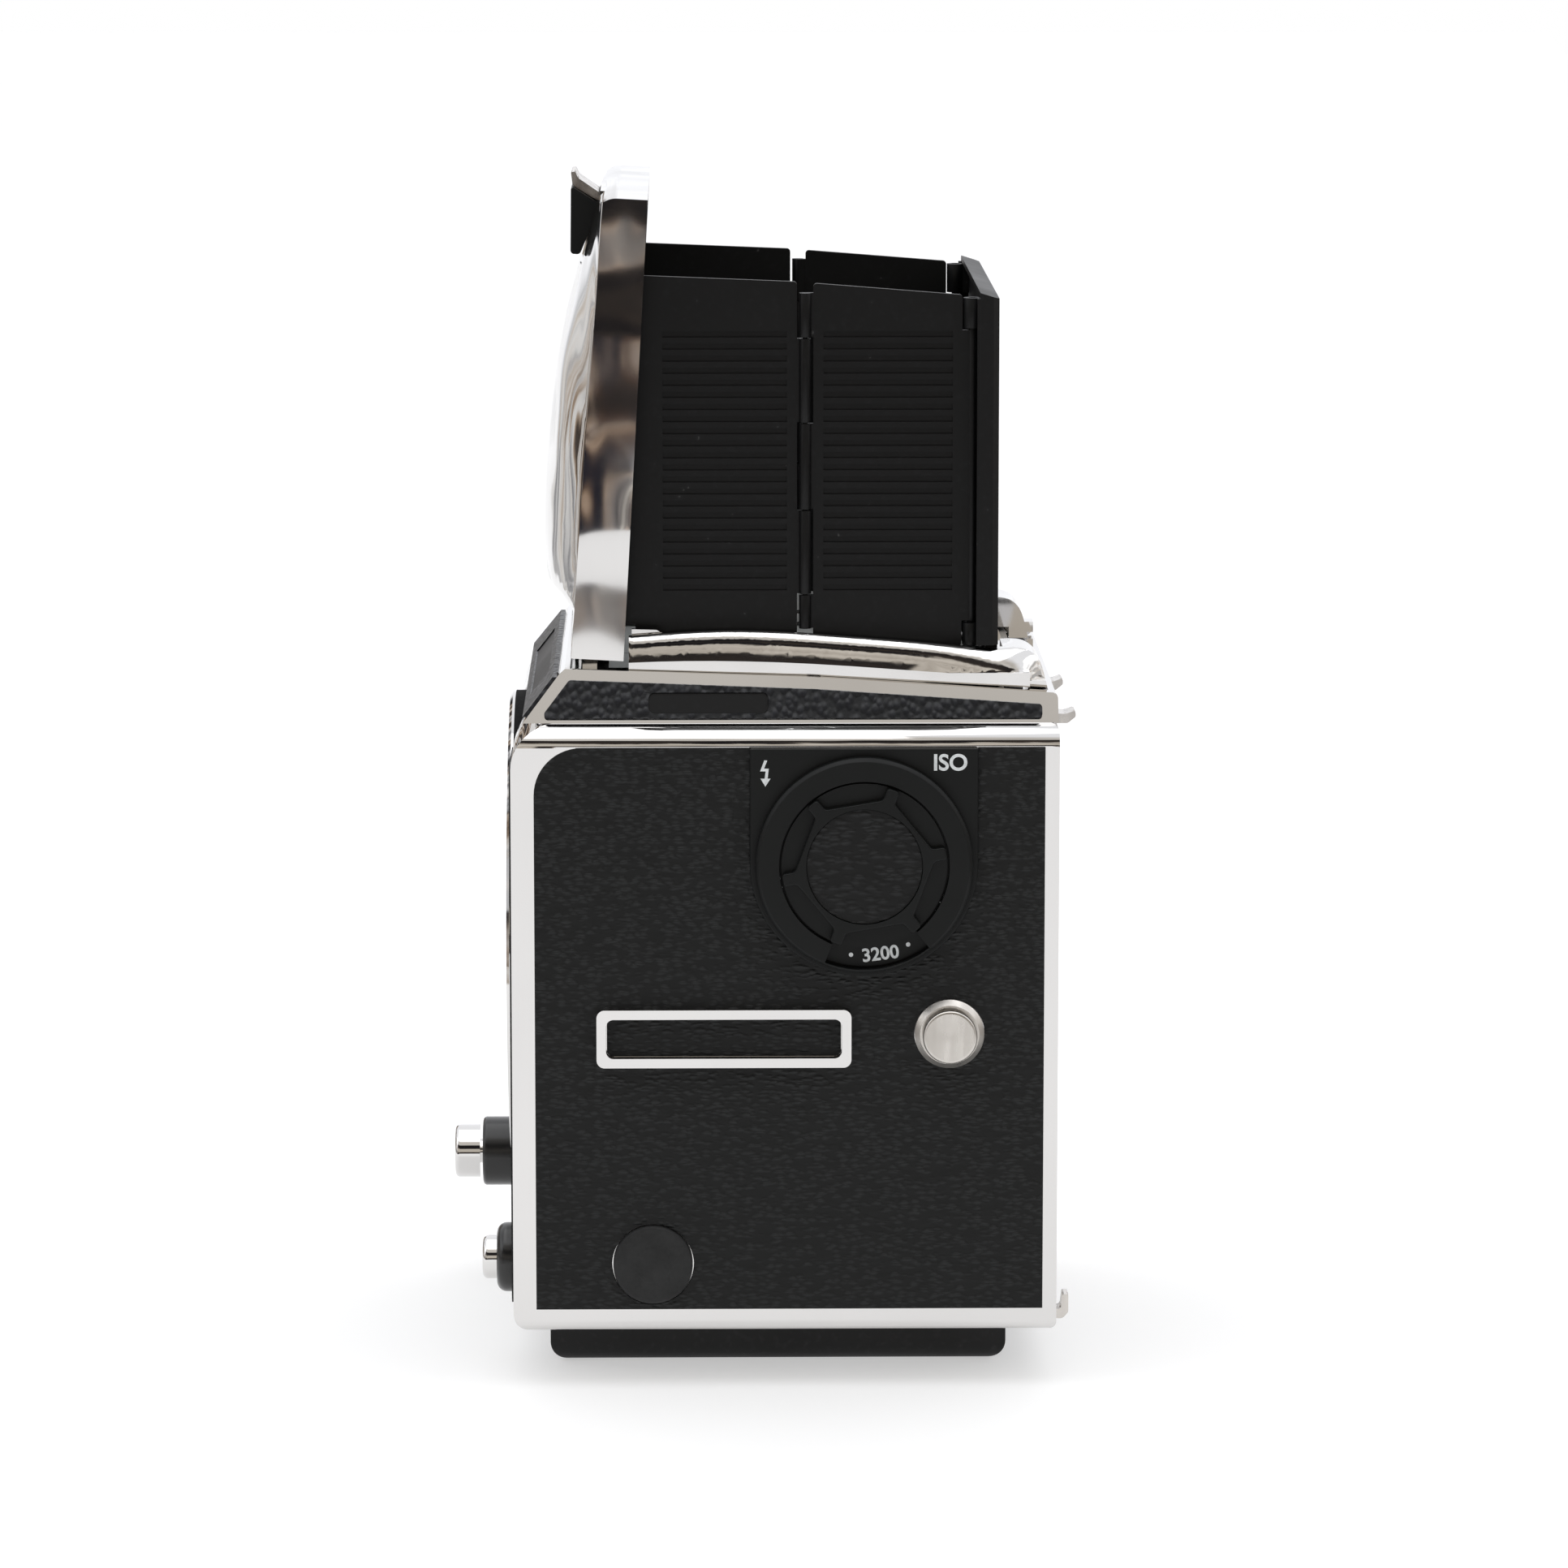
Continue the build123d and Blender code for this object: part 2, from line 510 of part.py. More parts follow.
def handle_pin():
    pin = rod_y(-3.6, 3.6, FORK_X, ARM_END_Z, 0.8) + rod_y(-2.3, 2.3, FORK_X, ARM_END_Z, 1.7)
    return pin + rod_z(ARM_END_Z - 21.5, ARM_END_Z, FORK_X, 0, 1.2) + rod_z(
        ARM_END_Z - 21.8, ARM_END_Z - 21.0, FORK_X, 0, 2.0)


def crank_knob():
    knob = rod_z(ARM_END_Z - 20.8, ARM_END_Z - 4.0, FORK_X, 0, 3.6)
    knob = fillet(knob.edges().filter_by(GeomType.CIRCLE), 1.0)
    return knob - rod_z(0, ARM_END_Z + 5, FORK_X, 0, 1.2 + RUN)


def mirror_release_lever():
    disc = rod_x(-43.4, -41.5, LEVER_Y, LEVER_Z, 4.6) + rod_x(-41.6, -36.2, LEVER_Y, LEVER_Z, 1.5)
    return disc + slab_x(outline(rectangle(LEVER_Y - 8.5, LEVER_Y, LEVER_Z - 1.3, LEVER_Z + 1.3),
                                 [1.2, 0, 0, 1.2]), -43.4, -42.0)


# ---- dial side ----------------------------------------------------------------------------------
RAIL = outline(rectangle(-25.7, 9.0, 45.2, 53.2), [1.1] * 4)
DIAL_X0 = 42.0                       # outer face of the flash and film-speed plate
SCALE_R = 14.0                       # disc that carries the film speeds


def iso_plate():
    plate = slab_x(plate_outline(), SHELL_X - SKIN, DIAL_X0)
    return plate - rod_x(40, 43, DIAL_Y, DIAL_Z, 3.0 + RUN)


def dial_ring():
    """Fixed ring round the knob, cut away at the bottom to show the film speed."""
    ring = rod_x(DIAL_X0, DIAL_X0 + 1.9, DIAL_Y, DIAL_Z, 14.75)
    ring = chamfer(ring.edges().filter_by(GeomType.CIRCLE).sort_by(Axis.X)[-1], 0.5)
    ring -= rod_x(40, 46, DIAL_Y, DIAL_Z, 11.55)
    ring -= rod_x(40, DIAL_X0 + 0.65, DIAL_Y, DIAL_Z, SCALE_R + GAP)
    window = slab_x(outline([(DIAL_Y, DIAL_Z)] + [
        (DIAL_Y + 30 * cos(radians(a)), DIAL_Z + 30 * sin(radians(a))) for a in (-112, -82, -52)]), 40, 46)
    reach = rod_x(40, 46, DIAL_Y, DIAL_Z, SCALE_R + GAP)
    return ring - (window & reach)


def iso_scale():
    """Thin turning disc that carries the film speeds, under the ring and seen through its window."""
    disc = rod_x(DIAL_X0 + 0.15, DIAL_X0 + 0.45, DIAL_Y, DIAL_Z, SCALE_R)
    return disc + rod_x(38.5, DIAL_X0 + 0.2, DIAL_Y, DIAL_Z, 3.0)


def knob_grip():
    """Outline of the knob's raised rim: a hexagon with a wing at each corner."""
    grip = RegularPolygon(9.9, 6)
    for turn in range(6):
        grip += Rot(0, 0, 60 * turn) * Pos(9.1, 0) * Rectangle(4.2, 1.7)
    bends = [v for v in grip.vertices() if hypot(v.X, v.Y) < 10.5]
    grip = fillet(bends, 0.7)
    ends = [v for v in grip.vertices() if hypot(v.X, v.Y) > 11.0]
    return Pos(DIAL_Y, DIAL_Z) * Rot(0, 0, 9.5) * fillet(ends, 0.4)


def iso_knob():
    """Six-winged knob: a raised rim on a low disc, with a sunk middle."""
    knob = rod_x(DIAL_X0 + 0.45, DIAL_X0 + 1.4, DIAL_Y, DIAL_Z, 11.25)
    knob += slab_x(knob_grip(), DIAL_X0 + 1.3, DIAL_X0 + 2.7)
    knob = fillet(knob.faces().sort_by(Axis.X)[-1].edges(), 0.2)
    return knob - rod_x(DIAL_X0 + 1.9, 46, DIAL_Y, DIAL_Z, 7.9)


def dial_leather():
    return rod_x(DIAL_X0 + 1.9, DIAL_X0 + 2.4, DIAL_Y, DIAL_Z, 7.8)


def accessory_rail():
    rail = slab_x(RAIL, SHELL_X - SKIN, SHELL_X + 1.9)
    inner = outline(rectangle(-24.4, 7.7, 46.5, 51.9), [1.0] * 4)
    rail -= slab_x(inner, SHELL_X + 0.3, SHELL_X + 3)
    return rail - slab_x(outline(rectangle(-24.9, 8.2, 46.0, 52.4), [1.2] * 4), SHELL_X + 0.5, SHELL_X + 1.1)


def rail_leather():
    return slab_x(outline(rectangle(-24.3, 7.6, 46.6, 51.8), [0.9] * 4), SHELL_X + 0.3, SHELL_X + 0.65)


def strap_lugs():
    lug = rod_x(SHELL_X - SKIN, 42.3, LUG_Y, LUG_Z, 4.75)
    lug = chamfer(lug.edges().filter_by(GeomType.CIRCLE).sort_by(Axis.X)[-1], 0.7)
    lug += rod_x(42, 43.2, LUG_Y, LUG_Z, 2.3)
    head = rod_x(43.1, 44.3, LUG_Y, LUG_Z, 3.7)
    lug += fillet(head.edges().filter_by(GeomType.CIRCLE), 0.45)
    return both_sides(lug)


def flash_socket():
    return rod_x(36.6, SHELL_X - SKIN, PLUG_Y, PLUG_Z, 5.15) - rod_x(37.6, 42, PLUG_Y, PLUG_Z, 3.8 + RUN)


def flash_plug():
    cap = rod_x(SHELL_X - SKIN + 0.05, 42.0, PLUG_Y, PLUG_Z, 5.45)
    cap = fillet(cap.edges().filter_by(GeomType.CIRCLE).sort_by(Axis.X)[-1], 0.5)
    return cap + rod_x(38.2, 41, PLUG_Y, PLUG_Z, 3.8)


# ---- foot ---------------------------------------------------------------------------------------
SMALL_THREAD_R, LARGE_THREAD_R, LARGE_THREAD_Y = 2.6, 4.0, 18.0


def foot_flange():
    flange = slab_x(outline(rectangle(-34.0, 35.4, 7.2, SHELL_Z0)), -30, 30)
    for x, y in foot_screw_places():
        flange -= rod_z(6, 9, x, y, 1.25)
    return flange


def foot_screw_places():
    return [(x, y) for x in (-20, 20) for y in (-24, 22)]


def foot_block():
    side = outline(rectangle(-32.5, 31.0, 0, 7.2), [3.0, 3.0, 0, 0])
    front = outline(rectangle(-26, 26, 0, 7.2), [2.9, 2.9, 0, 0])
    foot = slab_x(side, -30, 30) & slab_y(front, -35, 35)
    foot -= rod_z(-1, 6.5, 0, 0, SMALL_THREAD_R)
    foot -= rod_z(-1, 6.5, 0, LARGE_THREAD_Y, LARGE_THREAD_R)
    for x, y in foot_screw_places():
        foot -= rod_z(1.4, 8, x, y, 1.25)
        foot -= rod_z(-1, 1.4, x, y, 2.4)
    return foot


def foot_screws():
    screws = []
    for x, y in foot_screw_places():
        screw = rod_z(0.3, 1.4, x, y, 2.3) + rod_z(1.3, SHELL_Z0, x, y, 1.2)
        screws.append(screw - block(x - 2.5, x + 2.5, y - 0.3, y + 0.3, 0, 0.7))
    return screws[0] + screws[1:]


# ---- finder -------------------------------------------------------------------------------------
CREST = [(-21.2, 102.9), (-15.0, 103.35), (-7.0, 103.6), (2.0, 103.3), (13.0, 102.45), (24.0, 101.55),
         (30.0, 101.3), (33.3, 101.0), (34.8, 99.7), (35.4, 98.3), (35.7, DECK_Z0)]
CREASE = [(-21.2, 102.8), (-15.0, 103.2), (-7.0, 103.45), (2.0, 103.1), (13.0, 102.3), (24.0, 101.05),
          (28.4, 100.2), (31.6, 99.3), (33.0, 98.1), (33.35, 97.5), (33.5, DECK_Z0)]
FOOT_LINE = [(-21.2, 99.7), (-7.0, 99.9), (2.0, 99.6), (13.0, 98.9), (24.0, 98.1), (30.0, 97.6),
             (33.2, DECK_Z0)]
CREST_X = 31.4                      # a shoulder is highest up to here and bulges down outside it
CREASE_X = 33.3
CORNER_X = 22.0                     # inner end of the shoulders' rear corners


def shoulder_side(line):
    """Side view of a shoulder under one of its three long lines."""
    front, rear = line[0], line[-1]
    low = (front[0], DECK_Z0)
    return make_face(Line(low, front) + Spline(*line) + Line(rear, low))


def shoulder():
    """Bulging left shoulder of the finder base, with its rear corner and the tail below the corner."""
    crest = shoulder_side(CREST)
    hump = loft([stood_at(CREST_X, crest), stood_at(CREASE_X, shoulder_side(CREASE)),
                 stood_at(FINDER_X, shoulder_side(FOOT_LINE))])
    hump += slab_x(crest, 29.95, CREST_X)
    hump += slab_x(crest, CORNER_X, 29.95) & block(CORNER_X, 30.0, 29.9, 37, DECK_Z0, 103)
    tail = outline([(33.3, 95.4), (36.1, 95.4), (35.7, DECK_Z0), (33.3, DECK_Z0)])
    hump += slab_x(tail, CORNER_X, 33.0)
    skirt = outline([(19.5, DECK_Z0), (33.5, rim_z(33.5) + 0.25), (33.5, DECK_Z0)])
    return hump + slab_x(skirt, 33.1, FINDER_X)


def finder_base():
    """Base plate with a square well, two side shoulders, guide tongues and hinge posts."""
    base = block(-FINDER_X, FINDER_X, -28.8, 33.5, DECK_Z0, DECK_Z1)
    base -= block(-28, 28, -24, 25.5, 96, 99)
    base -= block(-CORNER_X, CORNER_X, 31.2, 34, 96, 99)
    base -= slab_x(outline([(31.6, 98.5), (36, 96.6), (36, 98.5)]), -29.9, 29.9)
    tab = slab_x(outline([(-20.8, 102.5), (-14.9, 102.5), (-17.4, 103.9), (-20.8, 104.0)]), 30.7, 31.7)
    tongue = block(31.4, 32.3, -28.8, 30.0, 95.4, DECK_Z0) + block(32.2, 33.6, -28.8, 30.0, 95.4, 96.0)
    lid_post = block(21, 27, -27.6, -25.6, DECK_Z1, 102.6)
    wall_post = block(26.3, 28.2, 27.2, 29.1, DECK_Z1, 100.4)
    base += both_sides(shoulder() + tab + tongue + lid_post + wall_post)
    base -= leaned(rod_x(-28, 28, 0, LID_PIN_UP, 0.8 + RUN))
    return base - rod_x(-28.5, 28.5, WALL_PIN_Y, WALL_PIN_Z, 0.5 + RUN)


def finder_catch():
    """Thumb catch behind the right rear corner."""
    return block(-31.0, -27.5, 35.5, 37.1, 95.5, 97.0)


def leaned(shape):
    """Places a piece drawn about the lid's hinge line, with the lid upright."""
    return Pos(0, LID_Y, LID_Z) * Rot(-LID_LEAN, 0, 0) * shape


def lid_section(z, edge, middle, inset=0.0, rear=LID_RIM):
    """Section across the lid at a height z: straight sides and a bowed front."""
    x, edge, middle = LID_X - inset, edge + inset, middle + inset
    wire = (Line((-x, rear), (-x, edge)) + ThreePointArc((-x, edge), (0, middle), (x, edge))
            + Line((x, edge), (x, rear)) + Line((x, rear), (-x, rear)))
    return Pos(0, 0, z) * make_face(wire)


LID_WALL = 1.2
LID_PIN_UP = 2.4                    # height of the lid's pin above its hinge line
APRON = [(1.2, -2.1, -2.5), (8.0, -2.0, -2.6)]           # height, front edge, bowed middle
DOME = [(9.2, -2.0, -6.4), (14.0, -1.95, -7.0), (21.0, -1.85, -7.25), (30.0, -1.7, -7.1),
        (42.7, -1.4, -6.0), (53.2, -1.2, -4.0), (LID_H, -1.0, -1.7)]


def lid():
    """Crowned cover of the finder, open towards the hood, with a flat apron at its hinge end."""
    outer = loft([lid_section(*row) for row in DOME])
    outer += loft([lid_section(*row) for row in APRON])
    outer += loft([lid_section(8.0, -2.0, -5.0), lid_section(*DOME[0])])
    side = outline([(-9, 0), (LID_RIM, 0), (LID_RIM, LID_H), (-1.3, LID_H), (-2.6, LID_H - 4),
                    (-9, LID_H - 20)], [0, 0, 0, 3.0, 4.0, 0])
    outer &= slab_x(side, -LID_X - 1, LID_X + 1)
    inner_dome = [(10.4, -2.0, -6.4)] + DOME[1:-1] + [(LID_H - LID_WALL, -1.0, -2.1)]
    inner = loft([lid_section(*row, LID_WALL, 8.0) for row in inner_dome])
    inner += loft([lid_section(4.5, -2.1, -2.5, LID_WALL, 8.0), lid_section(10.5, -2.0, -2.6, LID_WALL, 8.0)])
    shell = outer - inner
    shell -= block(-31.0, 31.0, APRON[0][2] + LID_WALL + 0.2, 8.0, -1.0, 4.6)
    shell -= rod_x(-33.2, 33.2, 0, LID_PIN_UP, 0.8 + RUN)
    shell += block(-9.5, 12.5, -1.6, 0.3, 52.0, 63.4)
    shell -= block(-8.5, 11.5, -9, -0.6, 53.0, 63.0)
    lug = block(14.6, 16.4, -0.8, 3.6, 55.5, 63.0)
    shell += both_sides(lug)
    return leaned(shell - rod_x(-17, 17, FLIP_Y, FLIP_Z, 0.7 + RUN))


def lid_pin():
    return leaned(rod_x(-33.0, 33.0, 0, LID_PIN_UP, 0.8))


FLIP_Y, FLIP_Z = 2.0, 58.0          # magnifier hinge, about the lid's hinge line
LENS_UP = 30.0                      # height of the magnifier's middle
LENS_R = 16.5


def magnifier_arm():
    """Ring that holds the magnifier, on an arm that flips out of the lid."""
    arm = rod_y(1.3, 2.6, 0, LENS_UP, 18.3) + block(-13.5, 13.5, 1.3, 2.6, LENS_UP, FLIP_Z)
    arm += rod_y(-3.1, 1.3, 0, LENS_UP, 18.3) + rod_x(-14.2, 14.2, FLIP_Y, FLIP_Z, 1.5)
    arm -= rod_y(-4, 1.2, 0, LENS_UP, LENS_R + RUN) + rod_y(0, 4, 0, LENS_UP, 15.5)
    return leaned(arm - rod_x(-15, 15, FLIP_Y, FLIP_Z, 0.7 + RUN))


def magnifier_lens():
    curve, middle, thick = 90.0, -1.0, 4.2
    front = Pos(0, middle + curve - thick / 2, LENS_UP) * Sphere(curve)
    back = Pos(0, middle - curve + thick / 2, LENS_UP) * Sphere(curve)
    return leaned(front & back & rod_y(-5, 5, 0, LENS_UP, LENS_R))


def magnifier_pin():
    return leaned(rod_x(-16.4, 16.4, FLIP_Y, FLIP_Z, 0.7))


def catch_bracket():
    side = outline([(-25.0, 160.3), (-28.4, 162.3), (-29.0, 162.8), (-29.2, 164.5), (-28.6, 164.6),
                    (-28.2, 163.7), (-25.0, 161.5)], [0, 0, 0.3, 0.2, 0.2, 0.4, 0])
    return slab_x(side, -5.5, 5.5)


def catch_grip():
    side = outline([(-29.2, 162.6), (-28.4, 162.2), (-25.1, 160.1), (-28.0, 153.2), (-29.3, 153.3)],
                   [0.3, 0, 0, 0.6, 0.5])
    return slab_x(side, -7.0, 7.0)


# ---- hood ---------------------------------------------------------------------------------------
PANEL_X = HOOD_X - PANEL
FOLD_X = HOOD_X + 0.1               # middle hinge axis, just outside the panels
KNUCKLE_ENDS = [103.7, 108.5, 120.1, 132.0, 143.6, 149.8]
WALL_PIN_Y, WALL_PIN_Z = 28.15, 99.4
WALL_Y = 29.2                       # back of the hood's rear wall
RIB_PITCH, RIB_DEPTH = 1.65, 0.3
EDGE = KNUCKLE_R + 0.28             # from the middle hinge's axis to the panels' edges


def ribbed(panel, y0, y1):
    """Cuts shallow level grooves in a panel's outer face, which leaves ribs between them."""
    for row in range(22):
        z = 109.0 + row * RIB_PITCH
        panel -= block(HOOD_X - RIB_DEPTH, HOOD_X + 1, y0, y1, z, z + RIB_PITCH / 2)
    return panel


def front_panel():
    """Left front panel of the hood, with every second hinge knuckle. Its lower front corner is cut away,
    because it swings out over the shoulder as the panels fold."""
    face = outline([(-23.0, 104.4), (-20.3, 104.4), (-20.3, HOOD_Z0), (FOLD_Y - EDGE, HOOD_Z0),
                    (FOLD_Y - EDGE, 151.2), (-20.4, 152.1)], [0.4, 0, 0, 0, 0.5, 0.5])
    panel = ribbed(slab_x(face, PANEL_X, HOOD_X), -16.5, 0.4)
    for low, high in list(zip(KNUCKLE_ENDS, KNUCKLE_ENDS[1:]))[1::2]:
        panel += rod_z(low + 0.1, high - 0.1, FOLD_X, FOLD_Y, KNUCKLE_R)
        panel += block(PANEL_X + 0.1, HOOD_X, FOLD_Y - 1.4, FOLD_Y, low + 0.1, high - 0.1)
    return panel - rod_z(95, 155, FOLD_X, FOLD_Y, 0.35 + RUN)


def rear_panel():
    """Left rear panel of the hood, with the middle hinge's pin and its own pivot rod."""
    face = outline([(FOLD_Y + EDGE, HOOD_Z0), (24.3, HOOD_Z0), (24.3, 149.4), (FOLD_Y + EDGE, 151.0)],
                   [0, 0.3, 0.5, 0.5])
    panel = ribbed(slab_x(face, PANEL_X, HOOD_X), 5.4, 23.0)
    for low, high in list(zip(KNUCKLE_ENDS, KNUCKLE_ENDS[1:]))[0::2]:
        panel += rod_z(low + 0.1, high - 0.1, FOLD_X, FOLD_Y, KNUCKLE_R)
        panel += block(PANEL_X + 0.1, HOOD_X, FOLD_Y, FOLD_Y + 1.4, low + 0.1, high - 0.1)
    panel += rod_z(KNUCKLE_ENDS[0] + 0.2, KNUCKLE_ENDS[-1] - 0.2, FOLD_X, FOLD_Y, 0.35)
    panel += rod_z(102.2, 147.6, WALL_HINGE_X, WALL_HINGE_Y, 0.6)
    return panel + block(PANEL_X, HOOD_X, 24.2, WALL_HINGE_Y, 104.8, 144.6)


def rear_wall():
    """Rear wall of the hood, with side flanges, a folded top and lugs for the panels' pivots."""
    wall = block(-32.5, 32.5, 27.6, WALL_Y, 100.7, 149.1)
    wall += both_sides(block(31.4, 32.5, 26.2, WALL_Y, 100.7, 149.1) + block(14, 26, 27.2, 29.1, 98.3, 100.9))
    lip = outline([(27.6, 148.2), (WALL_Y, 147.6), (WALL_Y, 149.1), (26.6, 149.9), (26.6, 149.1)])
    wall += slab_x(lip, -32.5, 32.5)
    wall -= both_sides(block(29.7, 33, 26, 30, 100, 101.8))
    for low, high in ((101.5, 104.5), (144.9, 149.0)):
        lug = rod_z(low, high, WALL_HINGE_X, WALL_HINGE_Y, 1.3)
        lug += block(WALL_HINGE_X - 0.9, WALL_HINGE_X + 0.9, WALL_HINGE_Y, 27.7, low, high)
        wall += both_sides(lug)
    wall -= both_sides(rod_z(100, 149.5, WALL_HINGE_X, WALL_HINGE_Y, 0.6 + RUN))
    wall = chamfer(wall.edges().filter_by(Axis.Z).filter_by(lambda e: abs(abs(e.center().X) - 32.5) < 0.01
                                                            and e.center().Y > WALL_Y - 0.2), 0.8)
    return wall - rod_x(-28.5, 28.5, WALL_PIN_Y, WALL_PIN_Z, 0.5 + RUN)


def wall_pin():
    return rod_x(-28.2, 28.2, WALL_PIN_Y, WALL_PIN_Z, 0.5)


def wall_tab():
    side = outline([(WALL_Y, 109.5), (WALL_Y + 0.8, 109.8), (WALL_Y + 0.9, 127.0), (WALL_Y, 127.8)],
                   [0, 0.3, 0.3, 0])
    return slab_x(side, -9.0, 9.0)


# ---- all pieces ---------------------------------------------------------------------------------
PIECES = {
    "body_shell": body_shell(),
    "left_leather": group(side_leather(1), rail_leather()),
    "right_leather": side_leather(-1),
    "front_leather": front_leather(),
    "light_frame": light_frame(),
    "magazine_hooks": group(upper_hooks(), lower_hooks()),
    "front_plate": front_plate(),
    "bayonet_ring": bayonet_ring(),
    "bayonet_screws": bayonet_screws(),
    "lens_bezel": lens_bezel(),
    "lens_drive_shaft": lens_drive_shaft(),
    "button_collars": group(release_collar(), lens_release_collar()),
    "release_button": release_button(),
    "lens_release_button": lens_release_button(),
    "mirror_box": mirror_box(),
    "box_pins": box_pins(),
    "mirror_frame": mirror_frame(),
    "mirror_glass": mirror_glass(),
    "upper_flap": rear_flap(FLAP_TOP_Z, LENS_Z + 0.2),
    "lower_flap": rear_flap(FLAP_LOW_Z, LENS_Z - 0.2),
    "top_frame": top_frame(),
    "frame_trims": group(side_trim(1), side_trim(-1), front_trim()),
    "blank_panels": group(label_panel(), name_panel()),
    "screen_frame": screen_frame(),
    "focusing_screen": focusing_screen(),
    "gear_plate": gear_plate(),
    "crank_gear": crank_gear(),
    "idler_gear": idler_gear(),
    "magazine_drive_gear": magazine_drive_gear(),
    "spring_barrel": spring_barrel(),
    "crank_collar": crank_collar(),
    "crank_hub": crank_hub(),
    "crank_arm": crank_arm(),
    "handle_pin": handle_pin(),
    "crank_knob": crank_knob(),
    "mirror_release_lever": mirror_release_lever(),
    "iso_plate": iso_plate(),
    "dial_ring": dial_ring(),
    "iso_scale": iso_scale(),
    "iso_knob": iso_knob(),
    "dial_leather": dial_leather(),
    "accessory_rail": accessory_rail(),
    "strap_lugs": strap_lugs(),
    "flash_socket": flash_socket(),
    "flash_plug": flash_plug(),
    "foot_flange": foot_flange(),
    "foot_block": foot_block(),
    "foot_screws": foot_screws(),
    "finder_base": finder_base() + finder_catch(),
    "finder_pins": group(lid_pin(), magnifier_pin(), wall_pin()),
    "lid": lid(),
    "magnifier_arm": magnifier_arm(),
    "magnifier_lens": magnifier_lens(),
    "catch_bracket": catch_bracket(),
    "catch_grip": catch_grip(),
    "hood_rear_wall": rear_wall() + wall_tab(),
    "left_front_panel": front_panel(),
    "right_front_panel": mirrored(front_panel()),
    "left_rear_panel": rear_panel(),
    "right_rear_panel": mirrored(rear_panel()),
}

os.makedirs("parts", exist_ok=True)
for name, shape in PIECES.items():
    export_step(shape, f"parts/{name}.step")
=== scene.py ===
import math

import bmesh
import bpy
from mathutils import Matrix, Vector


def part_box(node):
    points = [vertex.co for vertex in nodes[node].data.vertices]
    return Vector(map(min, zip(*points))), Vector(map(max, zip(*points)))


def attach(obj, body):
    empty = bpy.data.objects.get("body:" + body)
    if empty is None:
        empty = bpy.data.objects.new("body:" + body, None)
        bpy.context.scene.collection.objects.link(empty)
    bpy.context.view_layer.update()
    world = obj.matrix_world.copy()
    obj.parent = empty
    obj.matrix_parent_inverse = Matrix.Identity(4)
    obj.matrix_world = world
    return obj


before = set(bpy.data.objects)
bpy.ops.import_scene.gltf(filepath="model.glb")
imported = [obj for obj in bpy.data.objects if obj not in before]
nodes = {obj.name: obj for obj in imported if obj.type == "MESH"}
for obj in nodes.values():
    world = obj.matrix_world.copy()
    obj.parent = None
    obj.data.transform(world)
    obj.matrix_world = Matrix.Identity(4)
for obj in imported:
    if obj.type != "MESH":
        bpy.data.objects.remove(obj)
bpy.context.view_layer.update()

MM = 0.001
scene = bpy.context.scene


# ---- camera, floor and light --------------------------------------------------------------------
CAMERA_PLACE = Vector((0.9428, -0.01385, 0.2269))
CAMERA_DOWN, CAMERA_TURN = math.radians(9.0), math.radians(0.87)
LENS_MM, SENSOR_MM = 154.66, 36.0
FLOOR_END_X = 0.84                  # the table ends in front of the camera body, which chrome shows
FLOOR_NEAR_SIDE = 0.17              # half width at that end, where chrome shows the room beside it
FLOOR_FAR_X = -4                    # the table's far end, out of the camera's view
FLOOR_FAR_SIDE = 0.62


def place_camera():
    data = bpy.data.cameras.new("camera")
    data.lens = LENS_MM
    data.sensor_width = SENSOR_MM
    data.clip_start = 0.05
    camera = bpy.data.objects.new("camera", data)
    scene.collection.objects.link(camera)
    forward = Vector((-math.cos(CAMERA_DOWN) * math.cos(CAMERA_TURN),
                      math.cos(CAMERA_DOWN) * math.sin(CAMERA_TURN), -math.sin(CAMERA_DOWN)))
    camera.location = CAMERA_PLACE
    camera.rotation_euler = forward.to_track_quat("-Z", "Y").to_euler()
    scene.camera = camera


def lay_floor():
    mesh = bpy.data.meshes.new("floor")
    corners = [(FLOOR_FAR_X, -FLOOR_FAR_SIDE, 0), (FLOOR_END_X, -FLOOR_NEAR_SIDE, 0),
               (FLOOR_END_X, FLOOR_NEAR_SIDE, 0), (FLOOR_FAR_X, FLOOR_FAR_SIDE, 0)]
    mesh.from_pydata(corners, [], [(0, 1, 2, 3)])
    floor = bpy.data.objects.new("floor", mesh)
    scene.collection.objects.link(floor)
    paint = Paint("studio_white", base=(0.56, 0.56, 0.56), rough=0.75)
    paint.shader.inputs["Emission Color"].default_value = (1.0, 1.0, 1.0, 1.0)
    paint.shader.inputs["Emission Strength"].default_value = 0.46
    cloud = paint.noise(3.0, 2.0)
    paint.feed("Roughness", paint.span(cloud, 0.7, 0.8))
    mesh.materials.append(paint.material)


def area_light(name, place, target, size, power, colour=(1, 1, 1)):
    data = bpy.data.lights.new(name, "AREA")
    data.shape = "RECTANGLE"
    data.size, data.size_y = size
    data.energy = power
    data.color = colour
    light = bpy.data.objects.new(name, data)
    scene.collection.objects.link(light)
    light.location = place
    light.rotation_euler = (Vector(target) - Vector(place)).to_track_quat("-Z", "Y").to_euler()


# Each pair is where one band of the reflected room fades into the next, as the vertical part of the
# reflected direction. In WHITE_BEHIND it is the part that points towards the photographer.
DARK_LOW, WALL, DARK_HIGH = (-0.100, -0.082), (0.03, 0.07), (0.31, 0.34)
CEILING, STUDIO_TOP, WHITE_BEHIND = (0.55, 0.60), (0.80, 0.88), (0.62, 0.42)
STUDIO_WHITE = (0.96, 0.97, 1.0)


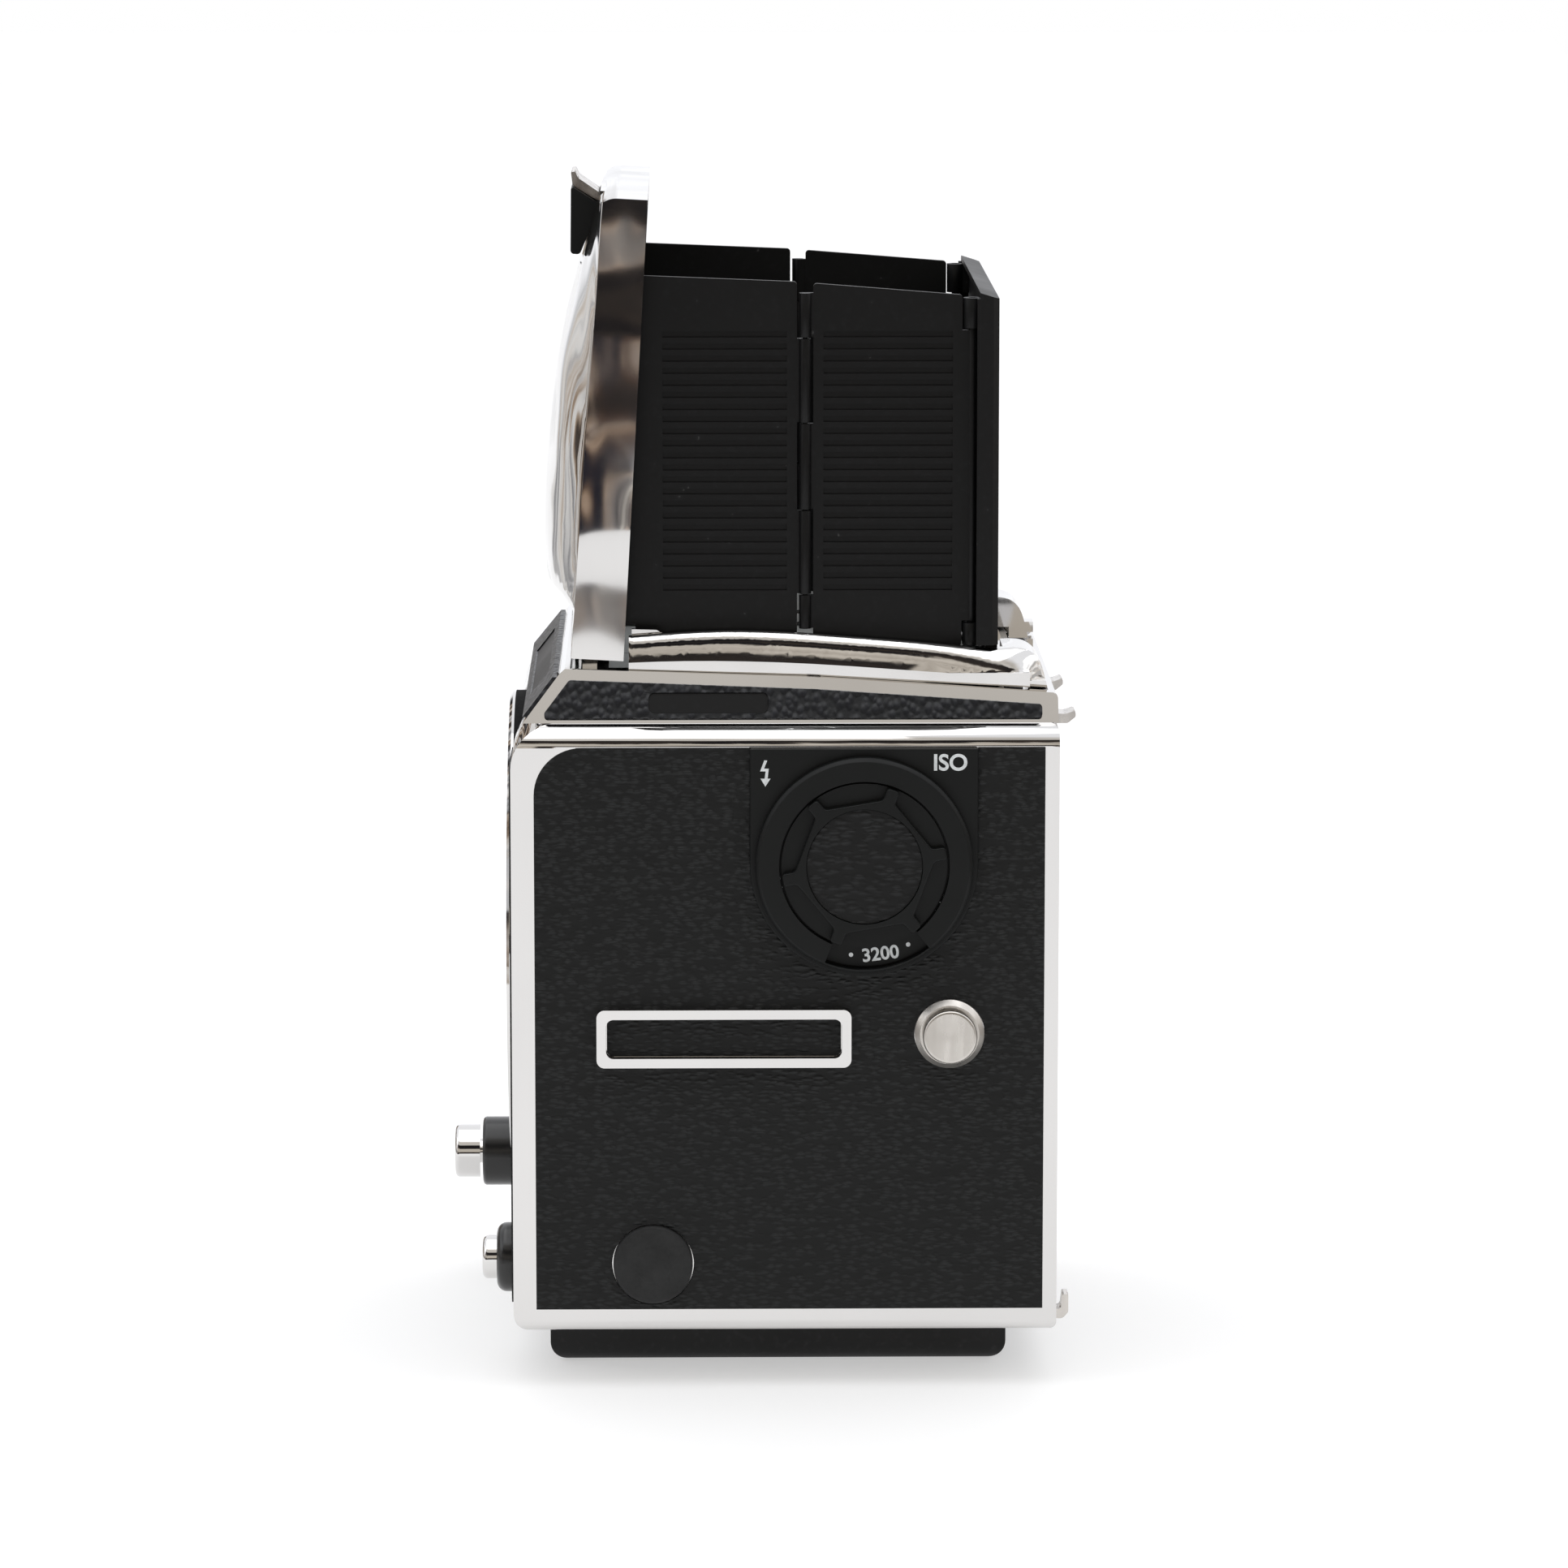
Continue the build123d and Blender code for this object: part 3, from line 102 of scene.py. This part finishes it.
def build_world():
    """White all round for the camera. Reflections see a white studio, with a banded room behind the
    photographer that rises from brown streaks to a pale ceiling, and a streaked room on both sides."""
    world = bpy.data.worlds.new("studio")
    scene.world = world
    world.use_nodes = True
    graph = Graph(world.node_tree)
    graph.tree.nodes.clear()
    direction = graph.add("ShaderNodeTexCoord").outputs["Generated"]
    split = graph.add("ShaderNodeSeparateXYZ")
    graph.link(direction, split.inputs[0])
    x, y, z = split.outputs
    streaks = graph.noise(1.0, 4.0, vector=graph.stretched(direction, (2.0, 24.0, 7.0)), distort=0.8)
    low_room = graph.colours(streaks, [
        (0.30, (0.006, 0.008, 0.016)), (0.50, (0.012, 0.014, 0.024)), (0.535, (0.11, 0.06, 0.035)),
        (0.56, (0.66, 0.50, 0.37)), (0.59, (0.36, 0.33, 0.31)), (0.63, (0.02, 0.02, 0.03)),
        (0.70, (0.70, 0.66, 0.60))])
    mottled = graph.noise(1.0, 3.0, vector=graph.stretched(direction, (4.0, 7.0, 12.0)))
    wall = graph.colours(mottled, [(0.35, (0.36, 0.32, 0.27)), (0.65, (0.66, 0.61, 0.54))])
    dark = graph.colours(mottled, [(0.35, (0.010, 0.010, 0.012)), (0.65, (0.045, 0.036, 0.030))])
    ceiling = graph.colours(mottled, [(0.35, (0.52, 0.49, 0.45)), (0.65, (0.70, 0.67, 0.63))])
    ragged = graph.noise(1.0, 5.0, vector=graph.stretched(direction, (5.0, 16.0, 5.0)), rough=0.65)
    height = graph.wobble(z, ragged, 0.34)
    lower = graph.mix(graph.ramped(graph.wobble(z, mottled, 0.03), *DARK_LOW), low_room, dark)
    base = graph.mix(graph.ramped(height, *WALL), lower, wall)
    base = graph.mix(graph.ramped(height, *DARK_HIGH), base, dark)
    base = graph.mix(graph.ramped(graph.wobble(z, mottled, 0.08), *CEILING), base, ceiling)
    base = graph.mix(graph.ramped(z, *STUDIO_TOP), base, STUDIO_WHITE)
    base = graph.mix(graph.ramped(x, *WHITE_BEHIND), base, STUDIO_WHITE)
    side_streaks = graph.noise(1.0, 4.0, vector=graph.stretched(direction, (9.0, 13.0, 2.2)), distort=1.0)
    side_room = graph.colours(side_streaks, [
        (0.38, (0.02, 0.02, 0.024)), (0.44, (0.05, 0.04, 0.035)), (0.475, (0.32, 0.23, 0.16)),
        (0.50, (0.46, 0.40, 0.34)), (0.53, (0.76, 0.75, 0.74)), (0.60, (0.18, 0.18, 0.19)),
        (0.66, (0.66, 0.65, 0.64))])
    aside = graph.ramped(graph.math("ABSOLUTE", y, 0.0), 0.16, 0.30)
    low = graph.multiply(graph.ramped(height, 0.46, 0.36), graph.ramped(x, 0.66, 0.56))
    base = graph.mix(graph.multiply(aside, low), base, side_room)
    seen = graph.add("ShaderNodeBackground")
    seen.inputs["Color"].default_value = (1, 1, 1, 1)
    seen.inputs["Strength"].default_value = 1.0
    lit = graph.add("ShaderNodeBackground")
    graph.link(base, lit.inputs["Color"])
    lit.inputs["Strength"].default_value = 1.14
    path = graph.add("ShaderNodeLightPath")
    mixer = graph.add("ShaderNodeMixShader")
    graph.link(path.outputs["Is Camera Ray"], mixer.inputs[0])
    graph.link(lit.outputs[0], mixer.inputs[1])
    graph.link(seen.outputs[0], mixer.inputs[2])
    output = graph.add("ShaderNodeOutputWorld")
    graph.link(mixer.outputs[0], output.inputs["Surface"])


def light_studio():
    build_world()
    area_light("softbox_top", (0.15, -0.05, 1.25), (0, 0, 0.06), (1.3, 1.5), 6.0)
    area_light("softbox_lens_side", (0.25, -1.2, 0.55), (0, 0, 0.07), (0.9, 0.9), 1.6, (0.97, 0.98, 1.0))
    area_light("softbox_back_side", (0.1, 1.2, 0.6), (0, 0, 0.07), (0.9, 0.9), 1.4, (1.0, 0.99, 0.97))


# ---- node graphs --------------------------------------------------------------------------------
class Graph:
    """Short ways to add and join shader nodes."""

    def __init__(self, tree):
        self.tree = tree

    def add(self, kind, **settings):
        node = self.tree.nodes.new(kind)
        for name, value in settings.items():
            setattr(node, name, value)
        return node

    def link(self, source, target):
        self.tree.links.new(source, target)

    def set(self, socket, value):
        if isinstance(value, bpy.types.NodeSocket):
            self.link(value, socket)
        elif isinstance(value, tuple) and len(value) == 3 and len(socket.default_value) == 4:
            socket.default_value = (*value, 1.0)
        else:
            socket.default_value = value

    def place(self):
        """Position in the object's own space, which is the shared frame, in metres."""
        return self.add("ShaderNodeTexCoord").outputs["Object"]

    def stretched(self, vector, scale, shift=(0, 0, 0)):
        node = self.add("ShaderNodeMapping")
        self.link(vector, node.inputs["Vector"])
        node.inputs["Scale"].default_value = scale
        node.inputs["Location"].default_value = shift
        return node.outputs[0]

    def noise(self, scale, detail=2.0, vector=None, rough=0.5, distort=0.0):
        node = self.add("ShaderNodeTexNoise")
        self.link(vector or self.place(), node.inputs["Vector"])
        node.inputs["Scale"].default_value = scale
        node.inputs["Detail"].default_value = detail
        node.inputs["Roughness"].default_value = rough
        node.inputs["Distortion"].default_value = distort
        return node.outputs["Fac"]

    def cells(self, scale, vector=None, feature="F1", smooth=0.4):
        node = self.add("ShaderNodeTexVoronoi", feature=feature)
        self.link(vector or self.place(), node.inputs["Vector"])
        node.inputs["Scale"].default_value = scale
        if feature == "SMOOTH_F1":
            node.inputs["Smoothness"].default_value = smooth
        return node.outputs["Distance"]

    def ramped(self, value, low, high):
        """0 at low, 1 at high, smooth between; low may be above high."""
        node = self.add("ShaderNodeMapRange", interpolation_type="SMOOTHSTEP")
        self.link(value, node.inputs["Value"])
        node.inputs["From Min"].default_value = low
        node.inputs["From Max"].default_value = high
        return node.outputs["Result"]

    def span(self, value, low, high, source=(0.3, 0.7)):
        node = self.add("ShaderNodeMapRange")
        self.link(value, node.inputs["Value"])
        node.inputs["From Min"].default_value, node.inputs["From Max"].default_value = source
        node.inputs["To Min"].default_value = low
        node.inputs["To Max"].default_value = high
        return node.outputs["Result"]

    def math(self, kind, a, b):
        node = self.add("ShaderNodeMath", operation=kind)
        self.set(node.inputs[0], a)
        self.set(node.inputs[1], b)
        return node.outputs[0]

    def multiply(self, a, b):
        return self.math("MULTIPLY", a, b)

    def wobble(self, value, noise, amount):
        return self.math("ADD", value, self.multiply(self.math("SUBTRACT", noise, 0.5), amount))

    def mix(self, factor, a, b):
        node = self.add("ShaderNodeMix", data_type="RGBA")
        self.set(node.inputs["Factor"], factor)
        self.set(node.inputs[6], a)
        self.set(node.inputs[7], b)
        return node.outputs[2]

    def colours(self, value, stops):
        node = self.add("ShaderNodeValToRGB")
        ramp = node.color_ramp
        for at, colour in stops[2:]:
            ramp.elements.new(at)
        for element, (at, colour) in zip(ramp.elements, stops):
            element.position = at
            element.color = (*colour, 1.0)
        self.link(value, node.inputs[0])
        return node.outputs[0]


class Paint(Graph):
    """A Principled material, its constants on the shader's own sockets."""

    def __init__(self, name, base, rough, metal=0.0, specular=0.5, coat=0.0, coat_rough=0.1):
        self.material = bpy.data.materials.new(name)
        self.material.use_nodes = True
        super().__init__(self.material.node_tree)
        self.shader = self.tree.nodes["Principled BSDF"]
        self.shader.inputs["Base Color"].default_value = (*base, 1.0)
        self.shader.inputs["Roughness"].default_value = rough
        self.shader.inputs["Metallic"].default_value = metal
        self.shader.inputs["Specular IOR Level"].default_value = specular
        self.shader.inputs["Coat Weight"].default_value = coat
        self.shader.inputs["Coat Roughness"].default_value = coat_rough

    def feed(self, socket, value):
        self.link(value, self.shader.inputs[socket])

    def bump(self, height, depth, strength=1.0, under=None):
        """Relief of that depth in metres. under is a bump that this one lies on."""
        node = self.add("ShaderNodeBump")
        self.link(height, node.inputs["Height"])
        node.inputs["Distance"].default_value = depth
        node.inputs["Strength"].default_value = strength
        if under:
            self.link(under, node.inputs["Normal"])
        self.link(node.outputs[0], self.shader.inputs["Normal"])
        return node.outputs[0]


# ---- materials ----------------------------------------------------------------------------------
def chrome(name="chrome_plate", rough=0.045, tint=(0.70, 0.69, 0.68), wave=0.00012, reach=28.0):
    """Mirror plating over a slightly uneven casting; wave is the depth of the unevenness in metres."""
    paint = Paint(name, tint, rough, metal=1.0)
    smudge = paint.noise(60.0, 4.0, rough=0.6)
    paint.feed("Roughness", paint.span(smudge, rough * 0.7, rough * 1.9))
    paint.feed("Base Color", paint.colours(paint.noise(35.0, 3.0), [
        (0.35, tuple(c * 0.96 for c in tint)), (0.65, tint)]))
    paint.bump(paint.noise(reach, 1.0), wave)
    return paint.material


def brushed_nickel(name, tint, rough=0.22, radial=False):
    paint = Paint(name, tint, rough, metal=1.0)
    if radial:
        tangent = paint.add("ShaderNodeTangent", direction_type="RADIAL", axis="X")
        paint.feed("Tangent", tangent.outputs[0])
        paint.shader.inputs["Anisotropic"].default_value = 0.75
    grain = paint.noise(900.0, 3.0, vector=paint.stretched(paint.place(), (1.0, 1.0, 0.12)))
    paint.feed("Roughness", paint.span(grain, rough * 0.75, rough * 1.3))
    paint.feed("Base Color", paint.colours(paint.noise(180.0, 3.0), [
        (0.3, tuple(c * 0.88 for c in tint)), (0.7, tint)]))
    paint.bump(grain, 0.00001, 0.4)
    return paint.material


def wrinkled_leather(name="leather_fine", base=(0.0062, 0.0070, 0.0072), along=(1.0, 0.40, 1.0), size=1.0,
                     depth=0.00015):
    """Fine wrinkle grain: short flat pillows drawn out along the depth of the body."""
    paint = Paint(name, base, 0.46, specular=0.30)
    grid = paint.stretched(paint.place(), along)
    warp = paint.add("ShaderNodeTexNoise")
    paint.link(grid, warp.inputs["Vector"])
    warp.inputs["Scale"].default_value = 700.0 / size
    warp.inputs["Detail"].default_value = 2.0
    shift = paint.add("ShaderNodeVectorMath", operation="MULTIPLY_ADD")
    paint.link(warp.outputs["Color"], shift.inputs[0])
    shift.inputs[1].default_value = (0.0006 * size,) * 3
    paint.link(grid, shift.inputs[2])
    cells = paint.cells(1750.0 / size, vector=shift.outputs[0], feature="SMOOTH_F1", smooth=0.35)
    pillows = paint.ramped(cells, 0.62, 0.12)
    rolls = paint.noise(420.0 / size, 2.0, vector=grid)
    under = paint.bump(rolls, depth * 1.6)
    under = paint.bump(pillows, depth, under=under)
    paint.bump(paint.noise(5200.0, 2.0), 0.00001, 0.5, under=under)
    paint.feed("Roughness", paint.span(pillows, 0.60, 0.40, source=(0.0, 1.0)))
    # Painted shade and highlight: the base colour is darker in the creases between the pillows and lighter
    # on their raised tops.
    paint.feed("Base Color", paint.colours(pillows, [
        (0.10, tuple(c * 0.55 for c in base)), (0.85, tuple(c * 1.35 for c in base))]))
    return paint.material


def pebble_leather():
    """Coarser and shinier grain of the top frame's trim, its pebbles standing upright."""
    base = (0.012, 0.013, 0.017)
    paint = Paint("leather_pebble", base, 0.36, specular=0.34)
    grid = paint.stretched(paint.place(), (1.0, 1.15, 0.75))
    cells = paint.cells(1050.0, vector=grid, feature="SMOOTH_F1", smooth=0.55)
    lumps = paint.ramped(cells, 0.75, 0.1)
    fine = paint.noise(2400.0, 3.0)
    under = paint.bump(lumps, 0.00016, 1.0)
    paint.bump(fine, 0.00003, 0.6, under=under)
    # Painted shade: the base colour darkens in the hollows between the pebbles.
    paint.feed("Base Color", paint.colours(lumps, [(0.2, (0.007, 0.008, 0.010)), (0.9, base)]))
    paint.feed("Roughness", paint.span(fine, 0.30, 0.44))
    return paint.material


def black_enamel(name="enamel_black", base=(0.0040, 0.0042, 0.0046), rough=0.42, grain=0.000006,
                 specular=0.25):
    """Satin paint with a very fine orange peel and a few pale dust marks."""
    paint = Paint(name, base, rough, specular=specular)
    peel = paint.noise(2600.0, 2.0)
    paint.bump(peel, grain, 0.6)
    paint.feed("Roughness", paint.span(paint.noise(70.0, 4.0), rough * 0.9, rough * 1.12))
    specks = paint.noise(900.0, 1.0)
    paint.feed("Base Color", paint.colours(specks, [
        (0.55, base), (0.78, tuple(c * 1.6 for c in base)), (0.86, (0.09, 0.09, 0.09))]))
    return paint.material


def matt_black(name="flock_black", base=(0.006, 0.006, 0.0065)):
    paint = Paint(name, base, 0.85, specular=0.2)
    fuzz = paint.noise(3200.0, 3.0)
    paint.bump(fuzz, 0.00003, 0.7)
    paint.feed("Roughness", paint.span(fuzz, 0.78, 0.95))
    return paint.material


def moulded_plastic(name="plastic_black", base=(0.0045, 0.0052, 0.0052), rough=0.42, specular=0.22):
    paint = Paint(name, base, rough, specular=specular)
    spark = paint.noise(3400.0, 2.0, rough=0.7)
    paint.bump(spark, 0.000008, 0.7)
    paint.feed("Roughness", paint.span(paint.noise(150.0, 3.0), rough * 0.9, rough * 1.15))
    return paint.material


def worn_rubber():
    """Matt rubber with faint moulding rings about the socket's centre."""
    base = (0.017, 0.0175, 0.018)
    paint = Paint("rubber_cap", base, 0.62, specular=0.3)
    low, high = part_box("flash_plug")
    centre = (low + high) / 2
    moved = paint.add("ShaderNodeVectorMath", operation="DISTANCE")
    flat = paint.stretched(paint.place(), (0.0, 1.0, 1.0))
    paint.link(flat, moved.inputs[0])
    moved.inputs[1].default_value = (0.0, centre.y, centre.z)
    disc = paint.ramped(moved.outputs["Value"], 0.0026, 0.0023)
    fuzz = paint.noise(1800.0, 3.0)
    under = paint.bump(disc, 0.00006, 0.6)
    paint.bump(fuzz, 0.00002, 0.6, under=under)
    paint.feed("Base Color", paint.colours(paint.noise(260.0, 4.0), [
        (0.35, tuple(c * 0.8 for c in base)), (0.7, tuple(c * 1.25 for c in base))]))
    paint.feed("Roughness", paint.span(fuzz, 0.55, 0.7))
    return paint.material


def machined_brass():
    base = (0.58, 0.42, 0.20)
    paint = Paint("brass_gear", base, 0.28, metal=1.0)
    lines = paint.noise(1500.0, 2.0, vector=paint.stretched(paint.place(), (0.1, 1.0, 1.0)))
    paint.bump(lines, 0.00001, 0.4)
    paint.feed("Roughness", paint.span(lines, 0.2, 0.36))
    return paint.material


def ground_screen():
    """Fine ground focusing surface with thin crossed guide lines."""
    paint = Paint("screen_ground", (0.62, 0.64, 0.63), 0.55, specular=0.5)
    split = paint.add("ShaderNodeSeparateXYZ")
    paint.link(paint.place(), split.inputs[0])
    low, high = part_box("focusing_screen")
    middle = (low + high) / 2
    lines = None
    for socket, centre in ((0, middle.x), (1, middle.y)):
        away = paint.math("ABSOLUTE", paint.math("SUBTRACT", split.outputs[socket], centre), 0.0)
        line = paint.ramped(away, 0.00022, 0.00012)
        lines = line if lines is None else paint.math("MAXIMUM", lines, line)
    grain = paint.noise(4200.0, 2.0)
    paint.feed("Base Color", paint.mix(lines, (0.62, 0.64, 0.63), (0.05, 0.05, 0.05)))
    paint.bump(grain, 0.00001, 0.5)
    paint.shader.inputs["Transmission Weight"].default_value = 0.35
    return paint.material


def clear_glass():
    paint = Paint("glass_clear", (0.96, 0.98, 0.98), 0.02, specular=0.5)
    paint.shader.inputs["Transmission Weight"].default_value = 1.0
    paint.shader.inputs["IOR"].default_value = 1.52
    paint.feed("Roughness", paint.span(paint.noise(90.0, 3.0), 0.01, 0.04))
    return paint.material


def silvered_glass():
    paint = Paint("mirror_silver", (0.93, 0.94, 0.94), 0.012, metal=1.0)
    paint.feed("Roughness", paint.span(paint.noise(40.0, 4.0), 0.008, 0.03))
    return paint.material


def marking_ink(name="ink_white", base=(0.80, 0.84, 0.86)):
    paint = Paint(name, base, 0.5, specular=0.3)
    paint.feed("Roughness", paint.span(paint.noise(1500.0, 2.0), 0.42, 0.6))
    paint.feed("Base Color", paint.colours(paint.noise(2200.0, 2.0), [
        (0.3, tuple(c * 0.82 for c in base)), (0.6, base)]))
    return paint.material


STYLES = {
    "chrome": (chrome(), "body_shell lens_bezel top_frame accessory_rail release_button lens_release_button "
                         "crank_hub crank_arm"),
    "chrome_lid": (chrome("chrome_lid", wave=0.0016, reach=42.0), "lid"),
    "chrome_base": (chrome("chrome_base", wave=0.0002, reach=60.0), "finder_base"),
    "nickel": (brushed_nickel("nickel_plate", (0.64, 0.61, 0.575)),
               "magazine_hooks catch_bracket handle_pin"),
    "nickel_lug": (brushed_nickel("nickel_turned", (0.66, 0.63, 0.59), 0.30, radial=True), "strap_lugs"),
    "steel": (brushed_nickel("steel_brushed", (0.50, 0.50, 0.51), 0.3),
              "bayonet_ring bayonet_screws lens_drive_shaft box_pins finder_pins foot_screws gear_plate "
              "screen_frame spring_barrel mirror_release_lever"),
    "leather": (wrinkled_leather(), "left_leather right_leather"),
    "leather_front": (wrinkled_leather("leather_front", along=(0.40, 1.0, 1.0)), "front_leather"),
    "leather_trim": (pebble_leather(), "frame_trims"),
    "leather_dial": (wrinkled_leather("leather_dial", base=(0.0055, 0.0060, 0.0064), size=1.25),
                     "dial_leather"),
    "black_paint": (black_enamel(), "hood_rear_wall left_front_panel right_front_panel left_rear_panel "
                                    "right_rear_panel magnifier_arm blank_panels"),
    "foot": (black_enamel("enamel_foot", (0.0095, 0.0097, 0.0100), 0.5, 0.00001), "foot_block foot_flange"),
    "black_matte": (matt_black(), "mirror_box upper_flap lower_flap mirror_frame light_frame front_plate"),
    "black_plastic": (moulded_plastic(), "iso_plate dial_ring iso_scale iso_knob catch_grip crank_collar "
                                         "crank_knob flash_socket"),
    "gloss_plastic": (moulded_plastic("plastic_gloss", (0.010, 0.010, 0.010), 0.22, 0.55), "button_collars"),
    "rubber": (worn_rubber(), "flash_plug"),
    "brass": (machined_brass(), "crank_gear idler_gear magazine_drive_gear"),
    "mirror": (silvered_glass(), "mirror_glass"),
    "glass": (clear_glass(), "magnifier_lens"),
    "ground_glass": (ground_screen(), "focusing_screen"),
}


def paint_nodes():
    for material, names in STYLES.values():
        for name in names.split():
            mesh = nodes[name].data
            mesh.materials.clear()
            mesh.materials.append(material)


# ---- rounded edges of the CAD pieces ------------------------------------------------------------
ROUNDED = {                          # edge radius in mm
    0.35: "top_frame finder_base",
    0.70: "lid",
    0.22: "accessory_rail light_frame hood_rear_wall iso_plate crank_arm",
    0.16: "left_front_panel right_front_panel left_rear_panel right_rear_panel dial_ring catch_grip",
    0.12: "left_leather right_leather front_leather frame_trims body_shell magazine_hooks catch_bracket "
          "blank_panels magnifier_arm foot_flange",
}


def round_edges():
    """Joins the split vertices of each CAD mesh, then rounds its sharp edges, with modifiers alone."""
    for radius, names in ROUNDED.items():
        for name in names.split():
            piece = nodes[name]
            weld = piece.modifiers.new("weld", "WELD")
            weld.merge_threshold = 0.000002
            bevel = piece.modifiers.new("bevel", "BEVEL")
            bevel.width = radius * MM
            bevel.segments = 2
            bevel.limit_method = "ANGLE"
            bevel.angle_limit = math.radians(38)
            bevel.use_clamp_overlap = True
            bevel.harden_normals = True
            bevel.miter_outer = "MITER_ARC"


# ---- small pieces -------------------------------------------------------------------------------
def add_piece(name, mesh, material, body):
    piece = bpy.data.objects.new(name, mesh)
    scene.collection.objects.link(piece)
    mesh.materials.clear()
    mesh.materials.append(material)
    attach(piece, body)
    return piece


def text_mesh(words, height, weight=0.0, depth=0.03):
    """Raised lettering drawn in the XY plane, centred, height in mm."""
    data = bpy.data.curves.new("words", "FONT")
    data.body = words
    data.size = height * 1.38 * MM
    data.extrude = depth * MM
    data.offset = weight * MM
    data.align_x = "CENTER"
    data.align_y = "CENTER"
    holder = bpy.data.objects.new("words", data)
    scene.collection.objects.link(holder)
    mesh = bpy.data.meshes.new_from_object(holder.evaluated_get(bpy.context.evaluated_depsgraph_get()))
    bpy.data.objects.remove(holder)
    return mesh


def on_left_face(x, y, z, turn=0.0):
    """Stands a flat drawing on a face that looks along +X, reading from -Y to +Y, turned in degrees."""
    upright = Matrix(((0, 0, 1, 0), (1, 0, 0, 0), (0, 1, 0, 0), (0, 0, 0, 1)))
    moved = Matrix.Translation((x * MM, y * MM, z * MM))
    return moved @ Matrix.Rotation(math.radians(turn), 4, "X") @ upright


def flat_mesh(name, points, depth):
    """A thin plate of the outline given in mm, drawn in the XY plane."""
    sketch = bmesh.new()
    corners = [sketch.verts.new((x * MM, y * MM, 0)) for x, y in points]
    face = sketch.faces.new(corners)
    pushed = bmesh.ops.extrude_face_region(sketch, geom=[face])
    moved = [v for v in pushed["geom"] if isinstance(v, bmesh.types.BMVert)]
    bmesh.ops.translate(sketch, verts=moved, vec=(0, 0, depth * MM))
    bmesh.ops.recalc_face_normals(sketch, faces=sketch.faces)
    mesh = bpy.data.meshes.new(name)
    sketch.to_mesh(mesh)
    sketch.free()
    return mesh


def circle_points(radius, count, x=0.0, y=0.0):
    return [(x + radius * math.cos(2 * math.pi * k / count), y + radius * math.sin(2 * math.pi * k / count))
            for k in range(count)]


def middle(node):
    low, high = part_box(node)
    return (low + high) / 2 / MM, low / MM, high / MM


INK = marking_ink()
INK_RAISE = 0.015                    # markings stand this far off the face, in mm
INK_DEPTH = 0.04                     # thickness of a mark, in mm


def mark_plate():
    """White lettering and the flash arrow on the film-speed plate."""
    low, high = middle("iso_plate")[1:]
    face = high.x + INK_RAISE
    label = text_mesh("ISO", 2.25, weight=0.07)
    label.transform(on_left_face(face, high.y - 3.85, high.z - 2.0))
    add_piece("film_speed_label", label, INK, "camera_body")
    bolt = [(0.0, 1.75), (-0.55, 0.25), (0.2, 0.25), (0.05, -0.75), (-0.5, -0.75), (0.15, -1.85),
            (0.85, -0.75), (0.45, -0.75), (0.62, 0.62), (-0.02, 0.62), (0.42, 1.75)]
    arrow = flat_mesh("flash_arrow", bolt, INK_DEPTH)
    arrow.transform(on_left_face(face, low.y + 1.95, high.z - 3.3))
    add_piece("flash_arrow", arrow, INK, "camera_body")


SPEEDS = ("3200", "1600", "800", "400", "200", "100")
SPEED_STEP = 55.0                    # degrees from one speed to the next, with two dots between
FIRST_ANGLE = -79.8                  # degrees from +Y at which the first speed stands at rest
SPEED_R = 12.55                      # distance of the speeds from the dial's axis, in mm
SPEED_TILT = 3.0                     # degrees that the printed numbers lean on their circle
DOT_R = 0.3


def mark_scale():
    """Film speeds round the turning scale, with a dot on either side of each."""
    centre = middle("iso_knob")[0]
    face = middle("iso_scale")[2].x + INK_RAISE

    def place(angle, turn=0.0):
        y = centre.y + SPEED_R * math.cos(math.radians(angle))
        return on_left_face(face, y, centre.z + SPEED_R * math.sin(math.radians(angle)), turn)

    for count, speed in enumerate(SPEEDS):
        angle = FIRST_ANGLE + count * SPEED_STEP
        words = text_mesh(speed, 1.85, weight=0.055)
        words.transform(place(angle, angle + 90 - SPEED_TILT))
        add_piece(f"film_speed_{speed}", words, INK, "film_speed_dial")
        for third in (-1, 1):
            dot = flat_mesh("dot", circle_points(DOT_R, 20), INK_DEPTH)
            dot.transform(place(angle + third * SPEED_STEP / 3))
            side = "after" if third > 0 else "before"
            add_piece(f"film_speed_dot_{side}_{speed}", dot, INK, "film_speed_dial")


place_camera()
lay_floor()
light_studio()
paint_nodes()
round_edges()
mark_plate()
mark_scale()
scene.view_settings.view_transform = "Standard"
